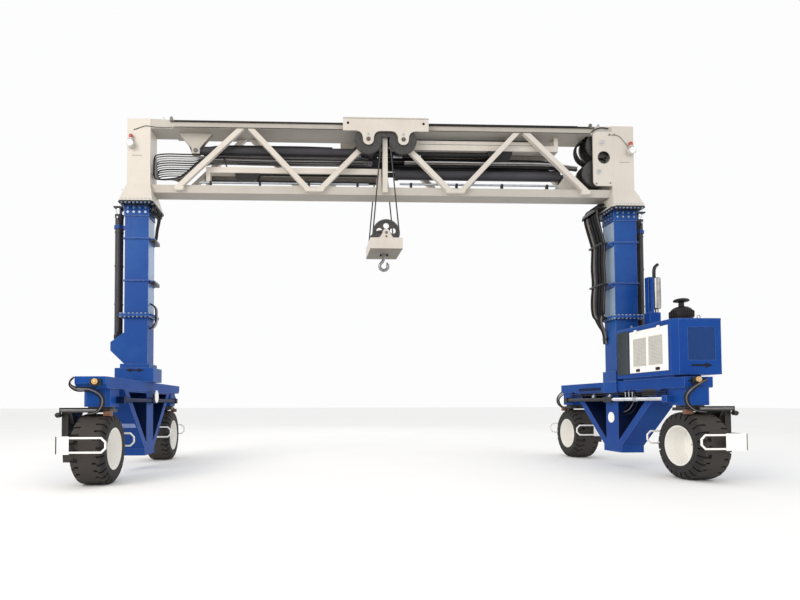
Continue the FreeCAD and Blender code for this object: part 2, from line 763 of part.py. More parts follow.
def sheave_stack():
    """Two side plates at the girder's right end, with two sheaves on each of two pins."""
    solids = [stack_plate(-1), stack_plate(1)]
    seat = top_half_l + fit + stack_plate_t + fit
    for x, z in stack_pins():
        parts = [rod((x, -seat - 14, z), (x, seat + 14, z), stack_pin_r)]
        for s in (-1, 1):
            parts.append(rod((x, s * seat, z), (x, s * (seat + 14), z), stack_pin_r + 22))
        solids.append(fused(parts))
        for s in (-1, 1):
            y = s * stack_sheave_y
            disc = sheave(x, y, z, stack_sheave_r, sheave_w)
            solids.append(disc.cut(rod((x, y - 60, z), (x, y + 60, z), stack_pin_r + fit)))
    return group(solids)


# ---------------------------------------------------------------- trolley
def side_plate_outline(y):
    """Outline of a trolley plate: a long bar with a filleted round ear under each sheave."""
    low = trolley_top - trolley_plate_h
    r = trolley_ear_r
    f = trolley_ear_fillet
    rise = low - f - trolley_sheave_z
    run = math.sqrt((r + f) ** 2 - rise ** 2)
    edges = []
    last = V(-trolley_half, y, low)

    def arc_to(centre, radius, middle, end):
        bulge = V(middle[0] - centre[0], 0, middle[1] - centre[1]).normalize() * radius
        through = V(centre[0], y, centre[1]) + bulge
        return Part.Arc(last, through, V(end[0], y, end[1])).toShape()

    for cx in (-trolley_sheave_x, trolley_sheave_x):
        away = V(cx - run, y, low)
        edges.append(Part.LineSegment(last, away).toShape())
        last = away
        for side in (-1, 1):
            tx = cx + side * run * r / (r + f)
            tz = trolley_sheave_z + rise * r / (r + f)
            fillet_mid = (cx + side * run / 2, trolley_sheave_z + rise * 1.5)
            if side < 0:
                edges.append(arc_to((cx - run, low - f), f, fillet_mid, (tx, tz)))
                last = V(tx, y, tz)
                edges.append(arc_to((cx, trolley_sheave_z), r, (cx, trolley_sheave_z - r),
                                    (2 * cx - tx, tz)))
                last = V(2 * cx - tx, y, tz)
            else:
                edges.append(arc_to((cx + run, low - f), f, fillet_mid, (cx + run, low)))
                last = V(cx + run, y, low)
    for x, z in ((trolley_half, low), (trolley_half, trolley_top), (-trolley_half, trolley_top),
                 (-trolley_half, low)):
        edges.append(Part.LineSegment(last, V(x, y, z)).toShape())
        last = V(x, y, z)
    return Part.Face(Part.Wire(edges))


def trolley_frame():
    """Two side plates tied over the chord, with the rollers that run on its ledges."""
    parts = []
    reach = trolley_plate_y + trolley_plate_t
    hole_z = girder_top - trolley_hole_drop
    for s in (-1, 1):
        y0, y1 = sorted((s * trolley_plate_y, s * reach))
        plate = side_plate_outline(y0).extrude(V(0, y1 - y0, 0))
        for hx in (-trolley_hole_x, trolley_hole_x):
            plate = plate.cut(rod((hx, y0 - 5, hole_z), (hx, y1 + 5, hole_z), trolley_hole_r))
        parts.append(plate)
        l0, l1 = sorted((s * (reach - 2), s * (reach + trolley_lip)))
        parts.append(box(-trolley_half, trolley_half, l0, l1, trolley_top - trolley_lip_h, trolley_top))
        z = top_under + ledge_t + fit + roller_r
        inner = top_half_l + 12
        for rx in (-roller_x, roller_x):
            parts.append(rod((rx, s * inner, z), (rx, s * (inner + roller_w), z), roller_r))
            parts.append(rod((rx, s * (inner + roller_w - 5), z), (rx, s * (trolley_plate_y + 2), z), 20))
    tie_z = girder_top + tie_gap
    for tx in (-trolley_half + 140, trolley_half - 140 - tie_w):
        parts.append(box(tx, tx + tie_w, -trolley_plate_y - 2, trolley_plate_y + 2, tie_z, tie_z + tie_t))
    return fused(parts)


def trolley_sheaves():
    solids = []
    for s in (-1, 1):
        for x in (-trolley_sheave_x, trolley_sheave_x):
            disc = sheave(x, s * sheave_y, trolley_sheave_z, sheave_r, sheave_w)
            stub = rod((x, s * (sheave_y + 20), trolley_sheave_z),
                       (x, s * (trolley_plate_y - fit), trolley_sheave_z), 45)
            solids.append(fused([disc, stub]))
    return solids


# ---------------------------------------------------------------- hook block
def hook_block():
    """Box with a pair of rounded cheeks at each end that hold a sheave."""
    half_w = sheave_r + block_margin
    parts = [box(-half_w, half_w, -block_half_l, block_half_l, block_z, block_top)]
    for s in (-1, 1):
        for side in (-1, 1):
            y = s * sheave_y + side * (sheave_w / 2 + 4 + fit)
            y0, y1 = sorted((y, y + side * 14))
            parts.append(prism_xz([(-cheek_w, block_top - 1), (cheek_w, block_top - 1),
                                   (dome_r, block_sheave_z), (-dome_r, block_sheave_z)], y0, y1))
            parts.append(rod((0, y0, block_sheave_z), (0, y1, block_sheave_z), dome_r))
        x0, x1 = sorted((s * (hook_swivel_r + 8), s * (hook_swivel_r + 8 + hook_lug)))
        parts.append(box(x0, x1, -hook_lug, hook_lug, block_z - hook_swivel_h, block_z + 1))
    whole = fused(parts)
    for s in (-1, 1):
        half = sheave_w / 2 + 6
        whole = whole.cut(box(-sheave_r - 12, sheave_r + 12, s * sheave_y - half, s * sheave_y + half,
                              block_sheave_z - sheave_r - 12, block_top + 1))
    return whole.cut(rod((0, 0, block_z - 1), (0, 0, block_z + 120), hook_shank_r + fit))


def block_sheaves():
    return [sheave(0, s * sheave_y, block_sheave_z, sheave_r, sheave_w) for s in (-1, 1)]


def hook():
    """Swivel hook: shank, swivel collar, curved neck, bowl and tapered point."""
    neck_z = hook_neck_r * math.sin(math.radians(hook_neck_turn))
    start_a = math.radians(180 - hook_neck_turn)
    bowl_x = hook_bowl_r * math.cos(start_a)
    bowl_z = hook_z + hook_bowl_r * math.sin(start_a)
    neck_top = bowl_z + neck_z
    shank = rod((0, 0, neck_top), (0, 0, block_z + 110), hook_shank_r)
    swivel = rod((0, 0, block_z - fit - hook_swivel_h), (0, 0, block_z - fit), hook_swivel_r)
    neck = bent_bar((-hook_neck_r, neck_top), (0, neck_top), hook_bar_r, (0, 1, 0), hook_neck_turn)
    bowl = bent_bar((0, hook_z), (bowl_x, bowl_z), hook_bar_r, (0, -1, 0), hook_bowl_turn)
    end_a = start_a + math.radians(hook_bowl_turn)
    tip = V(hook_bowl_r * math.cos(end_a), 0, hook_z + hook_bowl_r * math.sin(end_a))
    line = V(-math.sin(end_a), 0, math.cos(end_a))
    point = Part.makeCone(hook_bar_r, hook_tip_r, hook_tip_l, tip, line)
    ball = Part.makeSphere(hook_tip_r, tip + line * hook_tip_l)
    joint = Part.makeSphere(hook_bar_r, V(bowl_x, 0, bowl_z))
    return fused([shank, swivel, neck, joint, bowl, point, ball])


def rope_falls():
    """Four straight falls, each on the crossed tangent of a trolley sheave and a block sheave."""
    solids = []
    pitch = sheave_r - sheave_groove + rope_r + fit
    drop = trolley_sheave_z - block_sheave_z
    line = math.hypot(trolley_sheave_x, drop)
    turn = math.asin(2 * pitch / line) - math.atan2(trolley_sheave_x, drop)
    out = pitch * math.cos(turn)
    up = pitch * math.sin(turn)
    for s in (-1, 1):
        for side in (-1, 1):
            start = (side * (trolley_sheave_x - out), s * sheave_y, trolley_sheave_z - up)
            end = (side * out, s * sheave_y, block_sheave_z + up)
            solids.append(rod(start, end, rope_r))
    return solids


# ---------------------------------------------------------------- engine house
def engine_house():
    """Hollow engine house with a door opening inboard and a louvre recess in front."""
    t = house_wall
    c = house_chamfer
    front = house_front_y
    back = -house_back
    outline = [(house_in + c, front), (house_out, front), (house_out, back), (house_in, back),
               (house_in, front + c)]
    shell = prism_xy(outline, house_z, house_top)
    inner = [(house_in + t + c * 0.6, front + t), (house_out - t, front + t),
             (house_out - t, back - t), (house_in + t, back - t), (house_in + t, front + t + c * 0.6)]
    shell = shell.cut(prism_xy(inner, house_z + t, house_top - t))
    shell = shell.cut(box(house_in - 1, house_in + t + 1, door_y0, door_y1, door_z0, door_z1))
    mid = (house_in + c + house_out) / 2 + 25
    shell = shell.cut(box(mid - louvre_w / 2, mid + louvre_w / 2, front - 1, front + louvre_deep,
                          house_z + louvre_rise, house_z + louvre_rise + louvre_h))
    skid = box(-beam_half_w, beam_half_w, front + 150, back - 60, beam_top + fit, house_z)
    return fused([shell, skid])


hinge_x = house_in - 5 - hinge_r
hinge_z = door_z1 + 8


def hinge_ys():
    return (door_y0 + door_w * 0.2, door_y1 - door_w * 0.2)


def engine_door():
    """Door panel hung from two hinges along its top edge."""
    panel = box(house_in - 5, house_in - 5 + house_wall, door_y0 + door_gap, door_y1 - door_gap,
                door_z0 + door_gap, door_z1 - door_gap)
    parts = [panel]
    for y in hinge_ys():
        parts.append(rod((hinge_x, y - hinge_l / 2, hinge_z), (hinge_x, y + hinge_l / 2, hinge_z), hinge_r))
        parts.append(box(hinge_x - hinge_r, house_in - 4, y - hinge_l / 2, y + hinge_l / 2,
                         door_z1 - 50, hinge_z))
    return fused(parts)


def house_hinges():
    parts = []
    for y in hinge_ys():
        for s in (-1, 1):
            y0, y1 = sorted((y + s * (hinge_l / 2 + fit), y + s * (hinge_l / 2 + 45)))
            parts.append(rod((hinge_x, y0, hinge_z), (hinge_x, y1, hinge_z), hinge_r))
            parts.append(box(hinge_x, house_in + 1, y0, y1, hinge_z, hinge_z + hinge_r))
    return parts


def engine_block():
    """Engine and pump as one plain block on the house floor."""
    floor = house_z + house_wall
    back = -house_back
    x0 = (house_in + house_out) / 2 - engine_w / 2 + 90
    return box(x0, x0 + engine_w, house_front_y + 250, back - 250, floor + fit, floor + engine_h)


def precleaner():
    """Air pre-cleaner: neck, bulged bowl and mushroom cap."""
    r = bowl_r
    profile = [(0, 0), (130, 0), (130, 60), (r - 60, 100), (r - 12, 150), (r, 200), (r, 245), (r - 14, 285),
               (r - 70, 335), (r - 140, 360), (72, 368), (72, 420), (150, 430), (195, 448), (195, 470),
               (170, 492), (110, 508), (0, 514)]
    return turned(profile, (bowl_u, house_front_y + bowl_at, house_top + fit), (0, 0, 1))


def muffler():
    """Upright muffler on a roof stand, with its back post and bent tail pipe."""
    u = muffler_u
    y = house_front_y + muffler_at
    low = house_top + muffler_rise
    top = low + muffler_h
    r = muffler_r
    can = [(0, 0), (r - 20, 0), (r, 20), (r, muffler_h - 20), (r - 20, muffler_h), (0, muffler_h)]
    parts = [turned(can, (u, y, low), (0, 0, 1))]
    parts.append(rod((u, y, house_top + stand_h - 5), (u, y, low + 5), tailpipe_r + 10))
    pipe_u = u - r + tailpipe_r + 6
    bend = top + 170
    parts.append(rod((pipe_u, y, top - 5), (pipe_u, y, bend), tailpipe_r))
    parts.append(Part.makeSphere(tailpipe_r, V(pipe_u, y, bend)))
    parts.append(rod((pipe_u, y, bend), (pipe_u + 75, y, bend + 120), tailpipe_r))
    edge = u + 20
    parts.append(box(edge - stand_w, edge, y - 90, y + 90, house_top + fit, house_top + stand_h))
    parts.append(box(edge - stand_w, edge - stand_w + 112, y - 60, y + 60, house_top + stand_h - 1, top))
    parts.append(box(edge - stand_w + 100, u, y - 30, y + 30, low + 100, low + 160))
    return fused(parts)


# ---------------------------------------------------------------- lights
def end_light(s):
    """Work lamp and warning beacon on the outer edge of a column."""
    x = s * (leg_x - head_inset + column_w / 2 - 95)
    face = -column_l / 2 - fit
    z = girder_top + column_cap - lamp_drop
    arm = box(x - 30, x + 30, face - 45, face, z - 55, z + 115)
    lamp = rod((x, face - 45, z), (x, face - 115, z), lamp_r)
    shelf = box(x - beacon_r, x + beacon_r, face - 2 * beacon_r - 8, face, z + 100, z + 112)
    beacon_y = face - beacon_r - 4
    base = rod((x, beacon_y, z + 110), (x, beacon_y, z + 130), beacon_r)
    dome = rod((x, beacon_y, z + 130), (x, beacon_y, z + 220), beacon_r - 8)
    return fused([arm, lamp, shelf, base, dome])


# ---------------------------------------------------------------- nodes
def at_wheel(shape, side, end):
    """Piece drawn about a king pin, even in Y, turned outboard at one corner of the crane."""
    placed = shape.copy()
    if side < 0:
        placed.rotate(V(0, 0, 0), V(0, 0, 1), 180)
    placed.translate(V(side * leg_x, end * wheel_y, 0))
    return placed


def build():
    nodes = {}
    frames = {-1: bogie_frame(beam_past_left, 0.4), 1: bogie_frame(beam_past_right, 0.1)}
    masts = {-1: mast(base_w_left, base_l_left, base_h_left, base_neck),
             1: mast(base_w_right, base_l_right, base_h_right, 0)}
    for side, side_name in ((-1, "left"), (1, "right")):
        nodes[side_name + "_bogie_frame"] = on_leg(frames[side], side)
        nodes[side_name + "_steering_drive"] = on_leg(steering_drive(), side)
        nodes[side_name + "_outer_mast"] = on_leg(masts[side], side)
        nodes[side_name + "_lift_barrel"] = on_leg(lift_barrel(), side)
        for end, end_name in ((-1, "front"), (1, "rear")):
            corner = end_name + "_" + side_name
            nodes[corner + "_tyre"] = at_wheel(tyre(), side, end)
            nodes[corner + "_rim"] = at_wheel(rim(), side, end)
            nodes[corner + "_knuckle"] = at_wheel(knuckle(), side, end)
            nodes[corner + "_wheel_guards"] = at_wheel(group([guard_hoop(-1), guard_hoop(1)]), side, end)
    nodes["inner_masts"] = group([on_leg(inner_mast(), s) for s in (-1, 1)])
    nodes["lift_rods"] = group([on_leg(lift_rod(), s) for s in (-1, 1)])
    nodes["end_frames"] = group([on_leg(end_frame(), -1), on_leg(end_frame(), 1).cut(stack_pocket())])
    nodes["top_chord"] = top_chord()
    nodes["bottom_chord"] = bottom_chord()
    nodes["front_truss_web"] = group(truss_side(-1))
    nodes["rear_truss_web"] = group(truss_side(1))
    nodes["hoist_cylinders"] = group([hoist_barrel(-1, upper_z, top_under - fit),
                                      hoist_barrel(1, lower_z, low_top + fit)])
    nodes["guide_beams"] = group([upper_guide(), lower_guide()])
    nodes["traverse_carriage"] = rod_carriage(traverse_at * column_in, upper_z,
                                              -traverse_rod_end * column_in, False)
    nodes["hoist_carriage"] = rod_carriage(-hoist_at * column_in, lower_z,
                                           hoist_rod_end * column_in, True)
    nodes["rope_sheave_stack"] = sheave_stack()
    nodes["end_lights"] = group([end_light(s) for s in (-1, 1)])
    nodes["trolley_frame"] = trolley_frame()
    nodes["trolley_sheaves"] = group(trolley_sheaves())
    nodes["hook_block"] = hook_block()
    nodes["hook_block_sheaves"] = group(block_sheaves())
    nodes["hook"] = hook()
    nodes["hoist_ropes"] = group(rope_falls())
    nodes["engine_house"] = on_leg(fused([engine_house()] + house_hinges()), 1)
    nodes["engine_door"] = on_leg(engine_door(), 1)
    nodes["engine"] = on_leg(engine_block(), 1)
    nodes["air_precleaner"] = on_leg(precleaner(), 1)
    nodes["muffler"] = on_leg(muffler(), 1)
    return nodes


os.makedirs("parts", exist_ok=True)
for name, shape in build().items():
    shape.exportStep("parts/" + name + ".step")
    box_of = shape.BoundBox
    print(name, len(shape.Solids), shape.isValid(), round(shape.Volume / 1e9, 4),
          [round(v) for v in (box_of.XMin, box_of.XMax, box_of.YMin, box_of.YMax, box_of.ZMin, box_of.ZMax)])
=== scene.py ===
import json
import math

import bpy
from mathutils import Matrix, Vector


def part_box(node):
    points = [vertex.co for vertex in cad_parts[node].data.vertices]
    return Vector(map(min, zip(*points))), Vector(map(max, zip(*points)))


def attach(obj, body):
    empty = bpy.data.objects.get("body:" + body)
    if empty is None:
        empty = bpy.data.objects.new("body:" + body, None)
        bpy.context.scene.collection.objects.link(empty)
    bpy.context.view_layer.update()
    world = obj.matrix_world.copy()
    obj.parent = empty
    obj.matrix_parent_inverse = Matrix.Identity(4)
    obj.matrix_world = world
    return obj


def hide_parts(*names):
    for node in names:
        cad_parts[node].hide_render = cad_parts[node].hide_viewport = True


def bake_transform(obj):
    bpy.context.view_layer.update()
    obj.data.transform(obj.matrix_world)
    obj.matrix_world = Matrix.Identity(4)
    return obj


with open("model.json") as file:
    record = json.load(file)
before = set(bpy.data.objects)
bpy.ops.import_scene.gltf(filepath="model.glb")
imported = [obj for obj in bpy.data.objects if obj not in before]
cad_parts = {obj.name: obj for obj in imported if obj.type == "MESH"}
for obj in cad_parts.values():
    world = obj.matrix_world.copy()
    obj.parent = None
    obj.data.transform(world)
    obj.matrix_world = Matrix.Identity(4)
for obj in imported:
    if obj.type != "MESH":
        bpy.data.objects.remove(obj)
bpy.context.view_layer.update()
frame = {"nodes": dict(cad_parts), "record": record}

# ---------------------------------------------------------------- the crane's own sizes, metres
leg_x = 5.430               # mast centre from the middle of the crane
wheel_x = 5.470             # wheel centre
wheel_y = 2.100
wheel_z = 0.625
tyre_r = 0.625
mast_half_x = 0.255
mast_half_y = 0.220
mast_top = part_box("left_outer_mast")[1].z
flange_z = 3.345            # middle flange of a mast
ring_zs = (5.030, 4.105)
beam_low = 1.700
beam_half = {-1: 2.600, 1: 2.335}
foot_top = 0.480            # top of the bogie's foot, where the braces start
rack_z = 1.500              # axis of the steering rack's cylinders
sheave_x, sheave_y, sheave_z = 0.385, 0.363, 7.192      # trolley sheaves
SIDES = ((-1, "left"), (1, "right"))
ENDS = ((-1, "front"), (1, "rear"))
FACES = ((-1, "front"), (1, "back"))
X, Y, Z = 1, 2, 3           # the axis that a face looks along; minus is the other way


# ---------------------------------------------------------------- modelling helpers
def only(*pieces):
    """Object mode, with nothing else selected."""
    if bpy.context.object and bpy.context.object.mode != "OBJECT":
        bpy.ops.object.mode_set(mode="OBJECT")
    bpy.ops.object.select_all(action="DESELECT")
    for piece in pieces:
        piece.select_set(True)
        bpy.context.view_layer.objects.active = piece


def settle(name):
    """Names the new primitive and puts its place into its mesh."""
    piece = bpy.context.object
    piece.name = name
    bpy.ops.object.transform_apply(location=True, rotation=True, scale=True)
    return piece


def block(name, x0, x1, y0, y1, z0, z1):
    only()
    bpy.ops.mesh.primitive_cube_add(size=1, location=((x0 + x1) / 2, (y0 + y1) / 2, (z0 + z1) / 2))
    bpy.context.object.scale = (abs(x1 - x0), abs(y1 - y0), abs(z1 - z0))
    return settle(name)


def bar(name, start, end, radius, sides=24, ends="NGON"):
    """Round bar from one point to another."""
    a, b = Vector(start), Vector(end)
    only()
    turn = (b - a).to_track_quat("Z", "Y").to_euler()
    bpy.ops.mesh.primitive_cylinder_add(vertices=sides, radius=radius, depth=(b - a).length,
                                        location=(a + b) / 2, rotation=turn, end_fill_type=ends)
    return settle(name)


def pick(piece, wanted, edges=False):
    """Edit mode, with only the faces selected whose middle and normal pass the test, or only the
    edges whose two ends do."""
    only(piece)
    bpy.ops.object.mode_set(mode="EDIT")
    bpy.ops.mesh.select_mode(type="EDGE" if edges else "FACE")
    bpy.ops.mesh.select_all(action="DESELECT")
    bpy.ops.object.mode_set(mode="OBJECT")
    if edges:
        for edge in piece.data.edges:
            edge.select = wanted(*(piece.data.vertices[v].co for v in edge.vertices))
    else:
        for face in piece.data.polygons:
            face.select = wanted(face.center, face.normal)
    bpy.ops.object.mode_set(mode="EDIT")


def pick_ends(piece, axis):
    """Picks the faces that look either way along an axis."""
    pick(piece, lambda c, n: abs(n[axis - 1]) > 0.9)


def draw_out(move, size=(1, 1, 1), centre=None):
    """Extrudes what is selected, moves it, and scales it about a centre."""
    bpy.ops.mesh.extrude_region_move(TRANSFORM_OT_translate={"value": move})
    if size != (1, 1, 1):
        if centre is None:
            bpy.ops.transform.resize(value=size)
        else:
            bpy.ops.transform.resize(value=size, center_override=centre)


def work(piece, look, *steps):
    """Insets and draws out the faces that look one way. A step holds an inset (0 for none), then
    how far to draw them out that way (or a whole move), then their scale across it (or on all
    three axes)."""
    axis, way = abs(look) - 1, 1 if look > 0 else -1
    pick(piece, lambda c, n: n[axis] * way > 0.9)
    for inset, *drawn in steps:
        if inset:
            bpy.ops.mesh.inset(thickness=inset)
        if not drawn:
            continue
        move, size = drawn[0], (drawn + [(1, 1, 1)])[1]
        if not isinstance(move, tuple):
            move = tuple(way * move if k == axis else 0 for k in range(3))
        if not isinstance(size, tuple):
            size = tuple(1 if k == axis else size for k in range(3))
        draw_out(move, size)
    return piece


def cut_across(piece, axis, levels):
    """Cuts the whole mesh square to an axis at each level."""
    normal = Vector([k == axis - 1 for k in range(3)])
    for level in levels:
        bpy.ops.object.mode_set(mode="EDIT")
        bpy.ops.mesh.select_all(action="SELECT")
        bpy.ops.mesh.bisect(plane_co=normal * level, plane_no=normal)
        bpy.ops.object.mode_set(mode="OBJECT")


def sink_cells(piece, wanted, gap, depth):
    """Sinks each picked face by itself inside a rim."""
    pick(piece, wanted)
    bpy.ops.mesh.inset(thickness=gap, use_individual=True)
    bpy.ops.mesh.extrude_faces_move(TRANSFORM_OT_shrink_fatten={"value": -depth})
    only(piece)


def modified(piece, kind, **settings):
    only(piece)
    modifier = piece.modifiers.new(kind.lower(), kind)
    for key, value in settings.items():
        setattr(modifier, key, value)
    bpy.ops.object.modifier_apply(modifier=modifier.name)
    return piece


def copied(piece, name, place):
    """Copy with a mesh of its own, moved by a matrix."""
    twin = piece.copy()
    twin.data = piece.data.copy()
    twin.name = name
    bpy.context.collection.objects.link(twin)
    twin.data.transform(place)
    return twin


def joined(name, pieces):
    only(*pieces)
    bpy.ops.object.join()
    bpy.context.object.name = name
    return bpy.context.object


def outward(piece):
    """Merges doubles and turns every face outwards."""
    only(piece)
    bpy.ops.object.mode_set(mode="EDIT")
    bpy.ops.mesh.select_all(action="SELECT")
    bpy.ops.mesh.remove_doubles(threshold=0.0002)
    bpy.ops.mesh.normals_make_consistent(inside=False)
    bpy.ops.object.mode_set(mode="OBJECT")
    return piece


def done(piece, body, material, edge=0, cuts=2, slot=None, smooth=35):
    """Rounds the edges, shades, paints and fastens a finished shape."""
    if edge:
        modified(piece, "BEVEL", width=edge, segments=cuts, limit_method="ANGLE",
                 angle_limit=math.radians(40))
    only(piece)
    bpy.ops.object.shade_smooth_by_angle(angle=math.radians(smooth))
    piece.data.materials.clear()
    piece.data.materials.append(material)
    if body:
        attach(piece, body)
    return piece


def slab(name, sides, look, steps, *finish, **more):
    """Block with one side worked, then finished."""
    return done(work(block(name, *sides), look, *steps), *finish, **more)


def stud(name, start, end, radius, sides, look, steps, *finish, **more):
    """Round bar with one end worked, then finished."""
    return done(work(bar(name, start, end, radius, sides), look, *steps), *finish, **more)


def run(name, points, radius, sides):
    """Hose or rope as one smooth spline through given points."""
    line = bpy.data.curves.new(name, "CURVE")
    line.dimensions = "3D"
    spline = line.splines.new("NURBS")
    spline.points.add(len(points) - 1)
    for point, place in zip(spline.points, points):
        point.co = (*place, 1)
    spline.order_u = 3
    spline.use_endpoint_u = True
    line.resolution_u = 8
    line.bevel_depth = radius
    line.bevel_resolution = sides
    line.use_fill_caps = True
    piece = bpy.data.objects.new(name, line)
    bpy.context.collection.objects.link(piece)
    return piece


def fixed_hose(name, points, radius, body, material, sides=2):
    """Hose clipped along its way, so it keeps its shape and rides on one body."""
    piece = run(name, points, radius, sides)
    piece.data.materials.append(material)
    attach(piece, body)
    return piece


def bridging_hose(name, points, radius, material):
    """Hose between two bodies that move, as a smooth mesh. Also gives the
    points along its middle."""
    piece = run(name, points, 0, 2)
    middle = [v.co.copy() for v in bpy.data.meshes.new_from_object(piece).vertices]
    piece.data.bevel_depth = radius
    only(piece)
    bpy.ops.object.convert(target="MESH")
    piece = bpy.context.object
    bpy.ops.object.shade_smooth()
    piece.data.materials.append(material)
    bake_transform(piece)
    return piece, middle


# ---------------------------------------------------------------- materials
def linear(code):
    """sRGB hex colour as linear red, green, blue and alpha."""
    parts = [int(code[i:i + 2], 16) / 255 for i in (1, 3, 5)]
    parts = [c / 12.92 if c <= 0.04045 else ((c + 0.055) / 1.055) ** 2.4 for c in parts]
    return (*parts, 1.0)


def add(tree, kind, values=None, links=None, **settings):
    """Adds a node with its settings, its inputs' values and its inputs' sources."""
    node = tree.nodes.new("ShaderNode" + kind)
    for key, value in settings.items():
        setattr(node, key, value)
    for socket, value in (values or {}).items():
        node.inputs[socket].default_value = value
    wire(node, links or {})
    return node


def wire(node, links):
    """Links a node's inputs to sockets, or to the first output of other nodes."""
    for socket, source in links.items():
        if isinstance(source, bpy.types.Node):
            source = source.outputs[0]
        node.id_data.links.new(source, node.inputs[socket])


def finish_of(name, metal=0.0, rough=0.5, coat=0.0, gleam=0.5):
    """New material and the parts of it that every finish starts from."""
    material = bpy.data.materials.new(name)
    material.use_nodes = True
    tree = material.node_tree
    shader = tree.nodes["Principled BSDF"]
    for socket, value in (("Metallic", metal), ("Roughness", rough), ("Coat Weight", coat),
                          ("Coat Roughness", 0.12), ("Specular IOR Level", gleam)):
        shader.inputs[socket].default_value = value
    return material, tree, shader, add(tree, "TexCoord").outputs["Object"]


def mix(tree, amount, first, second):
    """Colour between two; each is a hex colour or a socket."""
    node = add(tree, "Mix", data_type="RGBA")
    for socket, value in ((6, first), (7, second)):
        if isinstance(value, str):
            node.inputs[socket].default_value = linear(value)
        else:
            wire(node, {socket: value})
    wire(node, {0: amount})
    return node.outputs[2]


def enamel(name, colour, faded, rough=0.42, coat=0.05, edge_wear_and_highlight=0.35, dust=0.30, gleam=0.18,
           under=0.0):
    """Polyester enamel sprayed on welded steel plate: smooth and half gloss, with a faint orange
    peel, broad faded patches, thin rain streaks, lighter edges that are partly rubbed paint and
    partly a painted highlight, road dust low down and painted shade on the faces that look down."""
    material, tree, shader, place = finish_of(name, rough=rough, coat=coat, gleam=gleam)
    patches = add(tree, "TexNoise", {"Scale": 1 / 0.9, "Detail": 5.0, "Roughness": 0.6},
                  {"Vector": place})
    fade = add(tree, "MapRange", {"From Min": 0.42, "From Max": 0.72, "To Max": 0.55},
               {"Value": patches})
    tall = add(tree, "Mapping", {"Scale": (1 / 0.05, 1 / 0.05, 1 / 1.6)}, {"Vector": place})
    streaks = add(tree, "TexNoise", {"Scale": 1.0, "Detail": 3.0}, {"Vector": tall})
    streak = add(tree, "MapRange", {"From Min": 0.58, "From Max": 0.80, "To Max": 0.10},
                 {"Value": streaks})
    # Edges are lighter over a band of about 8 mm: partly rubbed paint, partly a painted highlight
    # where edges catch the light.
    soft = add(tree, "Bevel", {"Radius": 0.008}, samples=4)
    sharp = add(tree, "NewGeometry").outputs["Normal"]
    turn = add(tree, "VectorMath", None, {0: soft, 1: sharp}, operation="DOT_PRODUCT")
    edge = add(tree, "MapRange", {"From Min": 0.98, "From Max": 0.86, "To Max": edge_wear_and_highlight},
               {"Value": turn.outputs["Value"]})
    height = add(tree, "SeparateXYZ", None, {"Vector": place})
    low = add(tree, "MapRange", {"From Min": 1.5, "From Max": 0.2, "To Max": dust},
              {"Value": height.outputs["Z"]})
    specks = add(tree, "TexNoise", {"Scale": 1 / 0.12, "Detail": 6.0, "Roughness": 0.7},
                 {"Vector": place})
    dusty = add(tree, "Math", None, {0: low, 1: specks}, operation="MULTIPLY")
    facing = add(tree, "SeparateXYZ", None, {"Vector": sharp})
    # Painted shade: faces that look down are darkened by as much as under.
    painted_underside_shade = add(tree, "MapRange", {"From Min": -0.4, "From Max": -0.9, "To Max": under},
                {"Value": facing.outputs["Z"]})
    tone = mix(tree, fade, colour, faded)
    for amount, shade in ((streak, "#5c584f"), (dusty, "#8d8475"), (painted_underside_shade, "#5c584f"),
                          (edge, "#e6ecf4")):
        tone = mix(tree, amount, tone, shade)
    gloss = add(tree, "MapRange", {"To Min": rough - 0.08, "To Max": rough + 0.12},
                {"Value": specks})
    # Orange peel is about 3 mm across; it is drawn at 14 mm so that it shows.
    peel = add(tree, "TexNoise", {"Scale": 1 / 0.014, "Detail": 2.0}, {"Vector": place})
    skin = add(tree, "Bump", {"Strength": 0.12, "Distance": 0.0006}, {"Height": peel})
    waves = add(tree, "TexNoise", {"Scale": 1 / 0.45, "Detail": 1.0}, {"Vector": place})
    plate = add(tree, "Bump", {"Strength": 0.35, "Distance": 0.004},
                {"Height": waves, "Normal": skin})
    wire(shader, {"Base Color": tone, "Roughness": gloss, "Normal": plate})
    return material


def tyre_rubber():
    """Black natural-rubber compound, moulded: matt, brown with dust, with the middle of the
    tread scrubbed paler and fine mould and scuff marks."""
    material, tree, shader, place = finish_of("natural_rubber_tyre_compound", rough=0.78)
    part = add(tree, "SeparateXYZ", None, {"Vector": place})
    along = add(tree, "Math", None, {0: part.outputs["Y"]}, operation="ABSOLUTE")
    from_axle = add(tree, "CombineXYZ", None, {"Y": along, "Z": part.outputs["Z"]})
    arm = add(tree, "VectorMath", {1: (0, wheel_y, wheel_z)}, {0: from_axle}, operation="DISTANCE")
    tread = add(tree, "MapRange", {"From Min": tyre_r - 0.020, "From Max": tyre_r - 0.004},
                {"Value": arm.outputs["Value"]})
    scuffs = add(tree, "TexNoise", {"Scale": 1 / 0.06, "Detail": 8.0, "Roughness": 0.7},
                 {"Vector": place})
    dust = add(tree, "TexNoise", {"Scale": 1 / 0.35, "Detail": 5.0, "Roughness": 0.65},
               {"Vector": place})
    pale = add(tree, "Math", None, {0: tread, 1: scuffs}, operation="MULTIPLY")
    film = add(tree, "MapRange", {"From Min": 0.35, "From Max": 0.75, "To Max": 0.45},
               {"Value": dust})
    tone = mix(tree, pale, mix(tree, film, "#1d1a18", "#2f2a26"), "#423b35")
    matt = add(tree, "MapRange", {"To Min": 0.62, "To Max": 0.92}, {"Value": scuffs})
    # Scuffs are 5 to 60 mm long.
    marks = add(tree, "Bump", {"Strength": 0.5, "Distance": 0.003}, {"Height": scuffs})
    wire(shader, {"Base Color": tone, "Roughness": matt, "Normal": marks})
    return material


